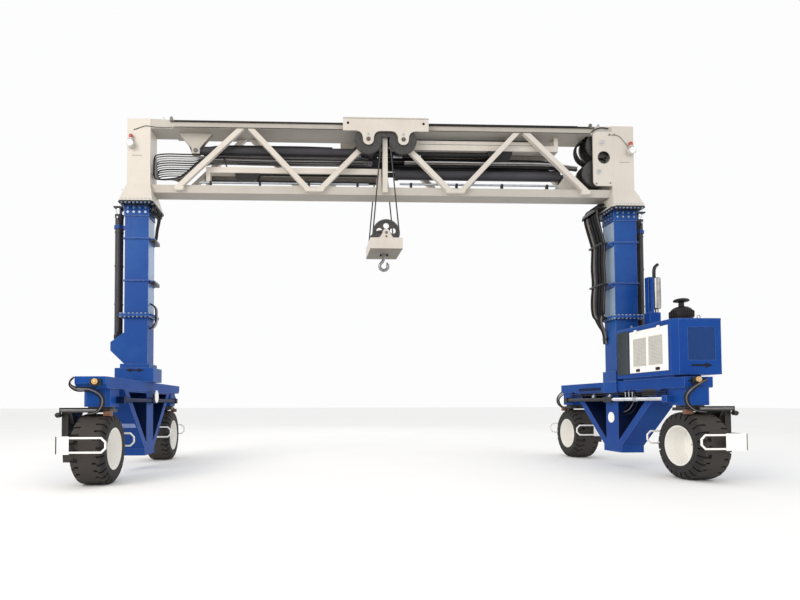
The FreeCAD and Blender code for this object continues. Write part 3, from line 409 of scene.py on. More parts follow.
def worn_metal(name, colour, stained, grain, metal=1.0, rough=0.35, bump=0.3, depth=0.001):
    """Bare or plated metal with stains; grain is the width of its surface texture in metres."""
    material, tree, shader, place = finish_of(name, metal=metal, rough=rough)
    spots = add(tree, "TexNoise", {"Scale": 0.12 / grain, "Detail": 5.0, "Roughness": 0.6},
                {"Vector": place})
    stain = add(tree, "MapRange", {"From Min": 0.45, "From Max": 0.72, "To Max": 0.7},
                {"Value": spots})
    fine = add(tree, "TexNoise", {"Scale": 1 / grain, "Detail": 4.0, "Roughness": 0.65},
               {"Vector": place})
    gloss = add(tree, "MapRange", {"To Min": rough - 0.12, "To Max": rough + 0.16}, {"Value": fine})
    pits = add(tree, "Bump", {"Strength": bump, "Distance": depth}, {"Height": fine})
    wire(shader, {"Base Color": mix(tree, stain, colour, stained), "Roughness": gloss,
                  "Normal": pits})
    return material


def rope_steel():
    """Galvanised six strand wire rope, greased: twisted strands that show as slanting ribs."""
    material, tree, shader, place = finish_of("greased_galvanised_wire_rope", metal=0.6, rough=0.5)
    # The lay of an 18 mm rope puts a strand crest every 20 mm along the rope.
    lay = add(tree, "Mapping", {"Rotation": (0.6, 0.0, 0.0)}, {"Vector": place})
    strands = add(tree, "TexWave", {"Scale": 1 / 0.020 / 2, "Distortion": 0.4, "Detail": 1.0},
                  {"Vector": lay}, bands_direction="Z").outputs["Fac"]
    grease = add(tree, "TexNoise", {"Scale": 1 / 0.2, "Detail": 3.0}, {"Vector": place})
    tone = mix(tree, grease, mix(tree, strands, "#2b2a29", "#77777a"), "#3a3733")
    ribs = add(tree, "Bump", {"Strength": 0.8, "Distance": 0.003}, {"Height": strands})
    wire(shader, {"Base Color": tone, "Normal": ribs})
    return material


def moulded(name, colour, worn, rough=0.5, grain=0.004, coat=0.0, bump=0.25):
    """Moulded plastic or rubber with a fine even grain and scuffed, dusty patches."""
    material, tree, shader, place = finish_of(name, rough=rough, coat=coat, gleam=0.18)
    patches = add(tree, "TexNoise", {"Scale": 1 / 0.15, "Detail": 6.0, "Roughness": 0.65},
                  {"Vector": place})
    scuffed = add(tree, "MapRange", {"From Min": 0.45, "From Max": 0.75, "To Max": 0.7},
                  {"Value": patches})
    gloss = add(tree, "MapRange", {"To Min": rough - 0.1, "To Max": rough + 0.15},
                {"Value": patches})
    fine = add(tree, "TexNoise", {"Scale": 1 / grain, "Detail": 2.0}, {"Vector": place})
    skin = add(tree, "Bump", {"Strength": bump, "Distance": 0.0005}, {"Height": fine})
    wire(shader, {"Base Color": mix(tree, scuffed, colour, worn), "Roughness": gloss,
                  "Normal": skin})
    return material


mast_blue = enamel("polyester_enamel_mast_blue", "#0a4088", "#1f599e")
bogie_blue = enamel("polyester_enamel_bogie_blue", "#16428d", "#23579c", coat=0.0, edge_wear_and_highlight=0.25,
                    dust=0.08, gleam=0.06)
# Dark copy of the bogie blue: painted shade in the braces' windows, on the left steering drive and
# on a plate on the right beam.
bogie_shade_blue = enamel("polyester_enamel_bogie_blue_painted_shade", "#071a3e", "#0c244e", coat=0.0,
                    edge_wear_and_highlight=0.0, dust=0.1, gleam=0.06)
# Pale blues laid over the masts' inner faces: painted sheen where those faces catch the light, the
# paler one on the right mast.
left_painted_sheen_blue = enamel("polyester_enamel_pale_blue", "#7f98b8", "#95a9c2", rough=0.3, dust=0.1)
right_painted_sheen_blue = enamel("polyester_enamel_paler_blue", "#9db4cf", "#b2c4d8", rough=0.3, dust=0.1)
louvre_blue = enamel("polyester_enamel_blue_on_mesh", "#1a3f78", "#274c86", rough=0.6, coat=0.0,
                     edge_wear_and_highlight=0.0)
cream = enamel("polyester_enamel_cream", "#cec7bd", "#beb6aa", rough=0.46, coat=0.06,
               edge_wear_and_highlight=0.22)
# The chords' cream is darker than the rest, with painted shade on its faces that look down.
shaded_chord_cream = enamel("polyester_enamel_chord_cream", "#b8b2a9", "#aaa398", rough=0.50, coat=0.04,
                     edge_wear_and_highlight=0.18, under=0.34)
white = enamel("polyester_enamel_white", "#fbf9f4", "#efece4", coat=0.08, edge_wear_and_highlight=0.2, dust=0.08)
black = enamel("epoxy_enamel_black", "#1d1d1f", "#34332f", rough=0.40, coat=0.12, edge_wear_and_highlight=0.10)
cylinder_grey = enamel("cylinder_enamel_dark_grey", "#38373b", "#4c4a4e", rough=0.36,
                       edge_wear_and_highlight=0.15)
rubber = tyre_rubber()
# Hard chrome on ground steel: mirror bright with a faint oil film.
chrome = worn_metal("hard_chromed_steel", "#d8dade", "#aeb0b2", 0.03, rough=0.16, bump=0.05)
# Hot dip zinc: pale grey, dull, with spangles about 12 mm wide.
zinc = worn_metal("hot_dip_galvanised_steel", "#b9bfc6", "#8f949a", 0.012, rough=0.42)
# Zinc plated bolts: small bright grey heads with a blue cast.
bolt_zinc = worn_metal("zinc_plated_bolt_steel", "#8e9db2", "#66758a", 0.02, metal=0.75, rough=0.36)
# Ductile cast iron, painted thin and oiled by the rope: dark, slightly rough sand cast skin.
sheave_iron = worn_metal("oiled_ductile_cast_iron", "#4d4c4a", "#2e2c2a", 0.006, metal=0.55,
                         rough=0.5,
                         bump=0.5)
# Drop forged steel: brown grey scale, rubbed bright where slings bear.
forged = worn_metal("drop_forged_steel", "#77736c", "#4a443d", 0.010, metal=0.8, rough=0.45,
                    bump=0.5,
                    depth=0.002)
# Cast iron engine with grey engine enamel.
engine_iron = worn_metal("grey_cast_iron_engine", "#55585b", "#34322f", 0.008, metal=0.4,
                         rough=0.55, bump=0.6)
# Perforated stainless sheet over the muffler, dulled by heat, and the scaled pipe out of it.
shield_steel = worn_metal("heat_dulled_stainless_sheet", "#a9a6a2", "#7f7a74", 0.015, rough=0.34)
exhaust_steel = worn_metal("scaled_exhaust_steel", "#2b2d30", "#211d1a", 0.010, metal=0.5,
                           rough=0.55)
# Perforated aluminium of the door, anodised dull.
mesh_grey = worn_metal("perforated_aluminium_sheet", "#b7b3aa", "#9c978d", 0.02, metal=0.3,
                       rough=0.5)
# Hook forging rubbed bright by slings.
hook_steel = worn_metal("rubbed_hook_forging_steel", "#a3a3a2", "#55524e", 0.020, metal=0.85,
                        rough=0.34)
# Grey brown sheet: painted shade that stands for cream in shade, on thin steel trays and sheets,
# with darker patches.
painted_shade_grey_brown = worn_metal("grey_brown_sheet_in_painted_shade", "#857e76", "#6c655d", 0.030, metal=0.0,
                    rough=0.7)
# Swivel blocks under the wheel plates: bronze browned by weather.
bronze = worn_metal("weathered_bronze_swivel_block", "#7d5742", "#4b3428", 0.012, metal=0.3,
                    rough=0.5)
# Brass valve bodies with amber coil caps.
valve_brass = worn_metal("cast_brass_valve_body", "#e0bd80", "#a8774a", 0.012, metal=0.35,
                         rough=0.38)
rope = rope_steel()
# Injection moulded polypropylene: the dark bowl and cap of the air cleaner.
black_plastic = moulded("polypropylene_black", "#201e1e", "#3a3634", rough=0.42)
# Neoprene hose covers: dull black, with one lighter grey sheath among them.
hose_black = moulded("neoprene_hose_cover", "#19181a", "#2e2c2c", rough=0.45, grain=0.006)
hose_grey = moulded("woven_hose_sleeve_grey", "#6b6765", "#8d8884", rough=0.55, grain=0.006,
                    bump=0.5)
hose_pale = moulded("steel_braid_hose_sleeve", "#a9a9aa", "#838283", rough=0.4, grain=0.005,
                    bump=0.6)
lamp_body = moulded("lamp_aluminium_housing_enamel", "#c9c8c5", "#a8a6a1", rough=0.4)
marking_black = moulded("marking_vinyl_black", "#0d1222", "#1c2233")
marking_band = moulded("marking_vinyl_lavender", "#8f9fd0", "#7384ba", rough=0.45)
red_lens = moulded("polycarbonate_lens_red", "#b5443c", "#93342f", rough=0.2, coat=0.6, bump=0.05)
lamp_glass = moulded("lamp_glass_frosted", "#f4f1ea", "#dedad2", rough=0.15, coat=0.8, bump=0.1)
grey_panel = moulded("sheet_steel_enamel_dark_grey", "#2e363a", "#3e464b")

# ---------------------------------------------------------------- finishes of the CAD nodes
slot_finish = {
    "blue_paint": bogie_blue, "cream_paint": cream, "white_paint": white, "black_paint": black,
    "tyre": rubber, "bright_steel": shield_steel, "chromed_rod": chrome, "sheave_iron": sheave_iron,
    "forged_steel": forged, "wire_rope": rope, "engine_iron": engine_iron,
    "black_plastic": black_plastic, "lamp_grey": lamp_body,
}
# The left steering drive takes the dark blue of painted shade; the chords take the darker cream
# with painted shade underneath.
node_finish = {
    "left_outer_mast": mast_blue, "right_outer_mast": mast_blue,
    "left_lift_barrel": cylinder_grey, "right_lift_barrel": cylinder_grey,
    "hoist_cylinders": cylinder_grey, "hook": hook_steel, "inner_masts": black,
    "left_steering_drive": bogie_shade_blue, "top_chord": shaded_chord_cream, "bottom_chord": shaded_chord_cream,
}
for entry in frame["record"]["subparts"]:
    mesh = frame["nodes"][entry["node"]].data
    mesh.materials.clear()
    mesh.materials.append(node_finish.get(entry["node"], slot_finish[entry["material_slot"]]))


# ---------------------------------------------------------------- camera, light and floor
camera_data = bpy.data.cameras.new("camera")
camera = bpy.data.objects.new("camera", camera_data)
bpy.context.collection.objects.link(camera)
yaw, pitch, roll = 0.0360, 0.0296, -0.0025
ahead = Vector((math.sin(yaw) * math.cos(pitch), math.cos(yaw) * math.cos(pitch), math.sin(pitch)))
right = Vector((math.cos(yaw), -math.sin(yaw), 0))
up = right.cross(ahead)
right, up = (right * math.cos(roll) + up * math.sin(roll),
             up * math.cos(roll) - right * math.sin(roll))
camera.matrix_world = Matrix((
    (right.x, up.x, -ahead.x, -1.7473),
    (right.y, up.y, -ahead.y, -11.7202),
    (right.z, up.z, -ahead.z, 1.4189),
    (0, 0, 0, 1)))
camera_data.sensor_width = 36
camera_data.lens = 23.72
camera_data.shift_x = 0.0934
camera_data.shift_y = 0.1103
camera_data.clip_end = 500
bpy.context.scene.camera = camera
bpy.context.scene.view_settings.view_transform = "Standard"


def lamp(name, place, target, size, watts, colour="#ffffff"):
    light = bpy.data.lights.new(name, "AREA")
    light.size = size
    light.energy = watts
    light.color = linear(colour)[:3]
    holder = bpy.data.objects.new(name, light)
    bpy.context.collection.objects.link(holder)
    holder.location = place
    holder.rotation_euler = (Vector(target) - Vector(place)).to_track_quat("-Z", "Y").to_euler()


lamp("key", (-14, -14, 12), (0, 0, 4), 9, 1700, "#fff8ee")
lamp("fill", (12, -14, 8), (1, 0, 3), 10, 260, "#f2f6ff")
lamp("back", (2, 16, 13), (0, 0, 4), 12, 300)
sky = bpy.data.worlds.new("studio")
bpy.context.scene.world = sky
sky.use_nodes = True
sky.node_tree.nodes["Background"].inputs["Color"].default_value = linear("#fdfdfe")
sky.node_tree.nodes["Background"].inputs["Strength"].default_value = 1.0

only()
bpy.ops.mesh.primitive_plane_add(size=240, location=(0, 60, 0))
floor = bpy.context.object
floor.name = "studio_floor"
paper, floor_tree, floor_shader, floor_place = finish_of("matt_studio_paper", rough=0.85)
soil = add(floor_tree, "TexNoise", {"Scale": 1 / 2.5, "Detail": 3.0}, {"Vector": floor_place})
wire(floor_shader, {"Base Color": mix(floor_tree, soil, "#f4f4f3", "#eeeeec")})
floor.data.materials.append(paper)


# ---------------------------------------------------------------- wheels
def moulded_tyre():
    """Solid tyre: smooth middle, 26 notches in each shoulder, ribbed side walls and beads."""
    steps = 104
    middle = Vector((wheel_x, -wheel_y, wheel_z))
    only()
    bpy.ops.mesh.primitive_cylinder_add(vertices=steps, radius=tyre_r, depth=0.24, location=middle,
                                        rotation=(0, math.pi / 2, 0), end_fill_type="NOTHING")
    tyre = settle("front_right_tyre_tread")
    pick(tyre, lambda a, b: abs(a.x - b.x) < 0.001, edges=True)
    half, radius = 0.12, tyre_r
    for next_half, next_radius in (
            (0.19, 0.625), (0.238, 0.612), (0.275, 0.566), (0.290, 0.500), (0.290, 0.400),
            (0.2875, 0.376), (0.2828, 0.3745), (0.2828, 0.3995), (0.270, 0.3993), (0.255, 0.373)):
        wide, tall = next_half / half, next_radius / radius
        draw_out((0, 0, 0), (wide, tall, tall), middle)
        half, radius = next_half, next_radius

    def in_notch(centre, normal):
        across = abs(centre.x - wheel_x)
        arm = math.hypot(centre.y + wheel_y, centre.z - wheel_z)
        if not 0.13 < across < 0.285 or arm < 0.45:
            return False
        turn = math.atan2(centre.z - wheel_z, centre.y + wheel_y) % (2 * math.pi)
        step = int(turn / (2 * math.pi) * steps + 0.5 * (across < 0.18))
        return (step + (2 if centre.x > wheel_x else 0)) % 4 == 0

    pick(tyre, in_notch)
    bpy.ops.mesh.extrude_region_shrink_fatten(TRANSFORM_OT_shrink_fatten={"value": -0.030})
    pick(tyre, lambda c, n: 0.430 < math.hypot(c.y + wheel_y, c.z - wheel_z) < 0.480
         and abs(n.x) > 0.9)
    bpy.ops.mesh.inset(thickness=0.012, depth=0.004)
    bpy.ops.mesh.inset(thickness=0.014, depth=-0.003)
    return outward(tyre)


def wheel_nut():
    """Hexagon nut on a washer with a rounded stud end, pointing along X."""
    only()
    bpy.ops.mesh.primitive_cylinder_add(vertices=16, radius=0.024, depth=0.004,
                                        location=(0.002, 0, 0), rotation=(0, math.pi / 2, 0))
    return outward(work(settle("nut"), X, (0, 0, 0.72), (0, 0.016), (0, 0.004, 0.75), (0, 0, 0.62),
                        (0, 0.010), (0, 0.003, 0.6)))


master_tyre = moulded_tyre()
master_nut = wheel_nut()
for side, side_name in SIDES:
    for end, end_name in ENDS:
        corner = end_name + "_" + side_name
        wheel = corner + "_wheel"
        move = Matrix.Translation(((side - 1) * wheel_x, (end + 1) * wheel_y, 0))
        tyre = master_tyre
        if corner != "front_right":
            tyre = copied(master_tyre, corner + "_tyre_tread", move)
        done(tyre, wheel, rubber, smooth=30)
        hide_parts(corner + "_tyre")
        nuts = []
        for turn in [math.radians(36 * i) for i in range(10)]:
            place = Vector((side * (wheel_x + 0.120), end * wheel_y + 0.165 * math.cos(turn),
                            wheel_z + 0.165 * math.sin(turn)))
            face = Matrix.Rotation(math.pi if side > 0 else 0, 4, "Z")
            nuts.append(copied(master_nut, "nut_copy", Matrix.Translation(place) @ face))
        done(joined(corner + "_wheel_nuts", nuts), wheel, zinc, smooth=25)
        rim_face = side * (wheel_x + 0.112)
        valve_y = end * wheel_y - 0.235
        stud(corner + "_valve", (rim_face, valve_y, wheel_z),
             (rim_face - side * 0.03, valve_y, wheel_z),
             0.013, 12, -X * side, [(0.004, 0.02, 0.9)], wheel, black_plastic, 0.002)
bpy.data.objects.remove(master_nut)


# ---------------------------------------------------------------- bolts
def hex_bolt():
    """M30 bolt head on its washer, pointing up from the origin."""
    only()
    bpy.ops.mesh.primitive_cylinder_add(vertices=12, radius=0.029, depth=0.005,
                                        location=(0, 0, 0.0025))
    return work(settle("bolt"), Z, (0, 0, 0.80), (0, 0.016), (0, 0.004, 0.72))


def bolt_row(name, places, facing, body, size=1.0):
    """One piece of many bolts, with their heads along facing."""
    turn = Vector(facing).to_track_quat("Z", "Y").to_matrix().to_4x4() @ Matrix.Scale(size, 4)
    heads = [copied(master_bolt, "bolt_copy", Matrix.Translation(place) @ turn) for place in places]
    return done(joined(name, heads), body, bolt_zinc, smooth=25)


def even(a, b, count):
    return [a + (b - a) * i / (count - 1) for i in range(count)]


def around(half_x, reach_x, count_x, half_y, reach_y, count_y):
    """Places round a rectangle: rows along its two X sides, then along its two Y sides."""
    return ([(u, v) for v in (-half_y, half_y) for u in even(-reach_x, reach_x, count_x)]
            + [(u, v) for u in (-half_x, half_x) for v in even(-reach_y, reach_y, count_y)])


# The bolt is still in edit mode when the first row copies it, so that row has washers only.
master_bolt = hex_bolt()
skirt_x, skirt_y = mast_half_x + 0.016, mast_half_y + 0.016
skirt_rows = (5.605, 5.700)
for side, name in SIDES:
    leg = side * leg_x
    body = name + "_leg"
    for end, end_name in ENDS:
        rows = [(leg + u, end * skirt_y, z) for z in skirt_rows for u in even(-0.19, 0.19, 4)]
        bolt_row(name + "_skirt_bolts_" + end_name, rows, (0, end, 0), body, size=0.95)
    for face in (-1, 1):
        rows = [(leg + face * skirt_x, v, z) for z in skirt_rows for v in even(-0.15, 0.15, 4)]
        bolt_row(name + "_skirt_bolts_" + ("inner" if face * side < 0 else "outer"), rows,
                 (face, 0, 0), body, size=0.95)
    # Both plates at the mast's head, and the middle flange, are bolted all round.
    head = [(leg - side * 0.040 + u, v) for u, v in around(0.335, 0.29, 8, 0.44, 0.35, 8)]
    flange = [(leg + u, v) for u, v in around(0.310, 0.31, 8, 0.275, 0.19, 5)]
    for rise, word, head_z in ((1, "top", 5.7993), (-1, "under", 5.7453)):
        bolt_row(name + "_head_bolts_" + word, [(x, y, head_z) for x, y in head], (0, 0, rise),
                 "portal")
    for rise, word in ((1, "top"), (-1, "under")):
        bolt_row(name + "_flange_bolts_" + word,
                 [(x, y, flange_z + rise * 0.025) for x, y in flange],
                 (0, 0, rise), body, size=1.15)
    # Weld beads where plates meet.
    for z, u, v in ((mast_top - 0.225, skirt_x, skirt_y),
                    (flange_z + 0.025, mast_half_x, mast_half_y),
                    (ring_zs[0] + 0.013, mast_half_x, mast_half_y),
                    (ring_zs[1] + 0.013, mast_half_x, mast_half_y)):
        bead = block(name + "_weld_%d" % round(z * 1000), leg - u - 0.006, leg + u + 0.006,
                     -v - 0.006, v + 0.006, z - 0.004, z + 0.006)
        pick_ends(bead, Z)
        bpy.ops.mesh.delete(type="ONLY_FACE")
        modified(bead, "SUBSURF", levels=1, render_levels=1, subdivision_type="SIMPLE")
        modified(bead, "SOLIDIFY", thickness=0.008, offset=-1)
        done(bead, body, mast_blue, 0.003, 1)
bpy.data.objects.remove(master_bolt)

# ---------------------------------------------------------------- lift cylinders
for side, name in SIDES:
    x = side * (leg_x + 0.448)
    body = name + "_leg"
    for i, z in enumerate((2.86, 3.60, 4.45, 5.20)):
        band = bar(name + "_cylinder_band_%d" % i, (x, 0, z), (x, 0, z + 0.035), 0.0895, 32,
                   "NOTHING")
        modified(band, "SOLIDIFY", thickness=0.006, offset=1)
        done(band, body, cylinder_grey, 0.0015, 1)
    pipe_x = x - side * 0.055
    fixed_hose(name + "_cylinder_pipe",
               [(x, -0.085, 2.90), (x, -0.105, 2.93), (pipe_x, -0.105, 3.05), (pipe_x, -0.105, 3.6),
                (pipe_x, -0.105, 4.6), (pipe_x, -0.105, 5.42), (x, -0.105, 5.50),
                (x, -0.090, 5.52)],
               0.011, body, hose_black)
    stud(name + "_cylinder_port", (x, -0.080, 5.52), (x, -0.125, 5.52), 0.024, 8, -Y,
         [(0, 0, 0.7), (0, 0.02)], body, zinc, 0.002, 1)
    slab(name + "_cylinder_valve", (x - 0.045, x + 0.045, -0.165, -0.082, 2.84, 2.94), -Y,
         [(0.02, 0.03)], body, black, 0.004)


# ---------------------------------------------------------------- bogies
def free_hose(name, points, radius, material):
    """Free hose between two fittings, drawn as a smooth mesh through its points."""
    piece, path = bridging_hose(name, points, radius, material)


for side, side_name in SIDES:
    leg_body = side_name + "_leg"
    for end, end_name in ENDS:
        corner = end_name + "_" + side_name
        steer = corner + "_steer"
        pin_y = end * wheel_y
        beam_end = end * beam_half[side]

        def at(u, v, z):
            """Point given outboard of the mast and towards the bogie's end, from the king pin."""
            return (side * (leg_x + u), pin_y + end * v, z)

        def walls(u0, u1, v0, v1, z0, z1):
            """Sides of a block, given in the same way."""
            (x0, y0, _), (x1, y1, _) = at(u0, v0, 0), at(u1, v1, 0)
            return (x0, x1, y0, y1, z0, z1)

        # Channel on the wheel plate's end edge, with three pale hoses laid in it.
        slab(corner + "_hose_channel", walls(-0.06, 0.60, 0.268, 0.318, 1.278, 1.362), Y * end,
             [(0.010, -0.036)], steer, black, 0.003)
        for i, (z, skin) in enumerate(((1.302, hose_grey), (1.324, hose_pale),
                                       (1.344, hose_black))):
            fixed_hose(corner + "_channel_hose_%d" % i,
                       [at(-0.04, 0.304, z), at(0.10, 0.303, z + 0.002), at(0.25, 0.304, z - 0.002),
                        at(0.40, 0.304, z + 0.002), at(0.585, 0.304, z)], 0.0085, steer, skin)
        stud(corner + "_channel_end", at(0.585, 0.285, 1.24), at(0.66, 0.285, 1.23), 0.045, 20,
             X * side, [(0.012, 0.02, 0.8)], steer, black, 0.006)
        # Swivel joint block on the plate's inboard edge.
        slab(corner + "_plate_valve", walls(-0.26, -0.13, 0.15, 0.26, 1.215, 1.300), Y * end,
             [(0.025, 0.03, 0.8)], steer, bronze, 0.005)
        # White end plates of the wheel guards, outboard in line with the hoop.
        for way, word in ((-1, "near"), (1, "far")):
            slab(corner + "_guard_plate_" + word,
                 (side * (leg_x + 0.155 - 0.085 * side), side * (leg_x + 0.400),
                  pin_y + way * 0.744, pin_y + way * 0.752, 0.590, 0.890), Y * way,
                 [(0.012, -0.003)], steer, white, 0.003)
        # Solenoid valve on the beam's end face.
        vx = side * (leg_x - (0.10 if side < 0 else 0.05))
        vz = 1.808 if side < 0 else 1.850
        slab(corner + "_solenoid_body",
             (vx - 0.095, vx + 0.095, beam_end, beam_end + end * 0.045, vz - 0.075, vz + 0.045),
             Y * end, [(0.022, 0.012)], leg_body, black, 0.004)
        stud(corner + "_solenoid_coil", (vx, beam_end + end * 0.050, vz),
             (vx, beam_end + end * 0.085, vz), 0.052, 8, Y * end,
             [(0.016, -0.014), (0.010, 0.02)], leg_body, valve_brass, 0.004)
        # Steering hoses: out over the beam's end, round the king pin housing, down to the channel.
        for i, o in enumerate((0, 0.031, 0.062)):
            if side < 0:
                route = [at(0.27, 0.505, 1.885), at(0.33, 0.545 + o / 3, 1.835 - o / 2),
                         at(0.31, 0.560 + o / 3, 1.745 - o / 2), at(0.19, 0.560 + o / 3, 1.700 - o),
                         at(0.02, 0.550 + o / 3, 1.715 - o), at(-0.12 + o, 0.510, 1.675 - o),
                         at(-0.185 + o, 0.420, 1.585 - o / 2), at(-0.190 + o, 0.355, 1.480),
                         at(-0.165 + o, 0.335, 1.385), at(-0.09 + o / 2, 0.320, 1.295 + o / 3),
                         at(0.02, 0.300, 1.250 + o / 4), at(0.12, 0.290, 1.248 + o / 4)]
            else:
                route = [at(0.155, 0.245, 1.868 - o / 4), at(0.06, 0.285, 1.838 - o / 2),
                         at(-0.08, 0.310, 1.785 - o), at(-0.24 + o, 0.325, 1.705 - o),
                         at(-0.335 + o, 0.330, 1.590 - o / 2), at(-0.350 + o, 0.330, 1.480),
                         at(-0.310 + o, 0.330, 1.375), at(-0.19 + o / 2, 0.320, 1.285 + o / 3),
                         at(-0.03, 0.300, 1.248 + o / 4), at(0.09, 0.290, 1.248 + o / 4)]
            free_hose(corner + "_steer_hose_%d" % i, route, 0.014,
                      hose_grey if i == 1 else hose_black)

# Chromed rods of the right steering rack; the left one stays behind its braces.
rx = leg_x - 0.313
for y0, y1, name, radius, sides, skin, rim, lip, edge, cuts in (
        (-1.83, -1.02, "rod_front", 0.0435, 32, chrome, 0.004, (0.004, 0.003), 0.002, 1),
        (-0.92, -0.16, "rod_middle", 0.0435, 32, chrome, 0.004, (0.004, 0.003), 0.002, 1),
        (-1.02, -0.92, "coupling", 0.056, 6, zinc, 0.008, (0.002, 0.006), 0.003, 2)):
    rod = bar("right_steer_" + name, (rx, y0, rack_z), (rx, y1, rack_z), radius, sides)
    pick_ends(rod, Y)
    bpy.ops.mesh.inset(thickness=rim)
    bpy.ops.mesh.inset(thickness=lip[0], depth=lip[1])
    done(rod, "right_leg", skin, edge, cuts)
for y, word in ((-0.05, "clevis"), (0.62, "rear_clevis")):
    slab("right_steer_" + word, (rx - 0.030, rx + 0.030, y - 0.045, y + 0.045, 1.545, 1.600), Z,
         [(0.014, 0.020, (0.7, 0.8, 1))], "right_leg", zinc, 0.005)
# Cross fittings and hoses that feed the rack.
inner = leg_x - 0.10
for i, y in enumerate((-0.62, -0.74, -0.86)):
    stud("right_rack_port_%d" % i, (rx, y, 1.535), (rx, y, 1.625), 0.011, 12, Z,
         [(0, 0, 1.5), (0, 0.028)], "right_leg", zinc, 0.002, 1)
    drop = 0.05 * i
    fixed_hose("right_rack_hose_%d" % i,
               [(rx, y, 1.648), (rx, y + 0.01, 1.68), (rx + 0.08, y + 0.04, 1.675),
                (inner, y + 0.10, 1.60), (inner, y + 0.2, 1.45 - drop),
                (inner - 0.03, y + 0.34, 1.30 - 0.06 * i), (inner, 0.0, 1.25 - drop),
                (inner, 0.2, 1.30 - drop)], 0.012, "right_leg", hose_grey if i == 1 else hose_black)
for i, z in enumerate((1.600, 1.642)):
    near, far = rx + 0.04, rx + 0.045
    fixed_hose("right_rail_hose_%d" % i,
               [(far, -1.84, z), (near, -1.4, z + 0.004), (far, -1.0, z - 0.004), (far, -0.4, z),
                (far, 0.1, z + 0.006), (far, 0.7, z), (far, 1.3, z), (near, 1.84, z)],
               0.011, "right_leg", hose_black)

# Right bogie: blue cover on the rack's front clamp, a pad that joins the mast's base to the post,
# and covers beside it, the rear one a dark blue plate of painted shade on the beam. Both bogies:
# dark blue liners of painted shade on the back wall of the braces' windows.
for name, sides, skin in (
        ("clamp_cover", (-0.3705, -0.2265, -1.993, -1.847, 1.434, 1.566), bogie_blue),
        ("post_pad", (-0.299, -0.262, -0.254, 0.254, 1.656, 1.8995), bogie_blue),
        ("access_cover_front", (-0.2545, -0.2495, -1.500, -1.080, 1.560, 1.6985), black),
        ("access_cover_rear", (-0.2685, -0.2645, 0.420, 1.400, 1.712, 1.785), bogie_shade_blue)):
    slab("right_" + name, (leg_x + sides[0], leg_x + sides[1]) + sides[2:], -X,
         [(0.010, -0.0015)], "right_leg", skin, 0.001, 1)
for side, word in SIDES:
    for end, end_word in ENDS:
        back, post = side * (leg_x + 0.2260), end * 0.240
        liner = block("%s_window_liner_%s" % (word, end_word), back, side * (leg_x + 0.2296),
                      post, end * 1.385, 0.597, 1.655)
        pick(liner, lambda c, n: n.z < -0.9)
        bpy.ops.transform.resize(value=(1, 0.01, 1), center_override=(back, post, 0.597))
        work(liner, -X * side, (0.012, -0.001))
        done(outward(liner), word + "_leg", bogie_shade_blue, smooth=20)

# Dark blue liners of painted shade on the windows' side walls: the post's front and the rear
# brace's upper face.
slope = math.atan2(1.073, 1.164)
for side, word in SIDES:
    inboard, outboard = side * (leg_x - 0.245), side * (leg_x + 0.2255)
    slab(word + "_post_liner", (inboard, outboard, -0.2385, -0.2352, 0.620, 1.655), -Y,
         [(0.010, -0.001)], word + "_leg", bogie_shade_blue, 0.001, 1)
    ramp = block(word + "_brace_liner", inboard, outboard, -0.765, 0.765, -0.0015, 0.0015)
    only(work(ramp, Z, (0.010, -0.001)))
    ramp.data.transform(Matrix.Translation((0, 0.815, 1.127)) @ Matrix.Rotation(slope, 4, "X"))
    done(ramp, word + "_leg", bogie_shade_blue, 0.001, 1)

# Round cover plates on the bogies' inner faces.
for side, word, y, z, depth, radius in ((-1, "left", 0.100, 1.590, 0.372, 0.140),
                                        (1, "right", 0.028, 1.098, 0.250, 0.120)):
    x = side * (leg_x - depth)
    if side < 0:
        slab("left_cover_hanger", (x - 0.030, x - 0.012, y - 0.06, y + 0.06, 1.480, 1.7005), Z,
             [(0, 0, (1, 1.6, 1)), (0, 0.014)], "left_leg", bogie_blue, 0.003)
        x -= 0.0115
    stud(word + "_round_cover", (x, y, z), (x - side * 0.010, y, z), radius, 48, -X * side,
         [(0.012, -0.003)], word + "_leg", white, 0.002)

# ---------------------------------------------------------------- hoses on the masts
# Hose fan from the girder's end over a chute, then down the right mast's inner face on its shelves.
for i in range(14):
    y = -0.13 + 0.036 * i
    lean = 0.044 * (i % 3)
    route = [(5.03, 0.6 * y, 5.94), (4.93, 0.8 * y, 5.935), (4.82 + lean, y + 0.02, 5.86),
             (4.800 + lean * 1.4, y + 0.03, 5.70), (4.845 + lean * 1.2, y + 0.02, 5.48),
             (4.90 + lean, y, 5.25), (4.955 + lean, y - 0.01, 5.03), (4.950 + lean, y, 4.80),
             (4.940 + lean, y + 0.01, 4.55), (4.950 + lean, y - 0.01, 4.30),
             (4.955 + lean, y, 4.10),
             (4.935 + lean, y + 0.01, 3.90), (4.920 + lean, y, 3.68),
             (4.930 + lean, 0.9 * y + 0.02, 3.50)]
    if i % 3 == 1:
        route += [(4.965 + lean / 2, 0.5 * y + 0.08, 3.33), (5.04, 0.3 * y + 0.12, 3.20),
                  (5.12, 0.2 * y + 0.15, 3.08), (5.148, 0.2 * y + 0.15, 2.93),
                  (5.152, 0.2 * y + 0.15, 2.78)]
    else:
        route += [(4.960 + lean / 2, 0.8 * y + 0.04, 3.40), (5.03, 0.7 * y + 0.05, 3.345),
                  (5.065, 0.7 * y + 0.05, 3.335)]
    bridging_hose("right_mast_hose_%d" % i, route, 0.023 if i % 3 else 0.026,
                  hose_grey if i in (1, 5, 9) else hose_black)
for z in ring_zs:
    slab("right_hose_clamp_%d" % round(z * 1000),
         (4.915, 5.060, -0.155, 0.385, z - 0.022, z + 0.022),
         -X, [(0.010, 0.012)], "right_leg", black, 0.005)
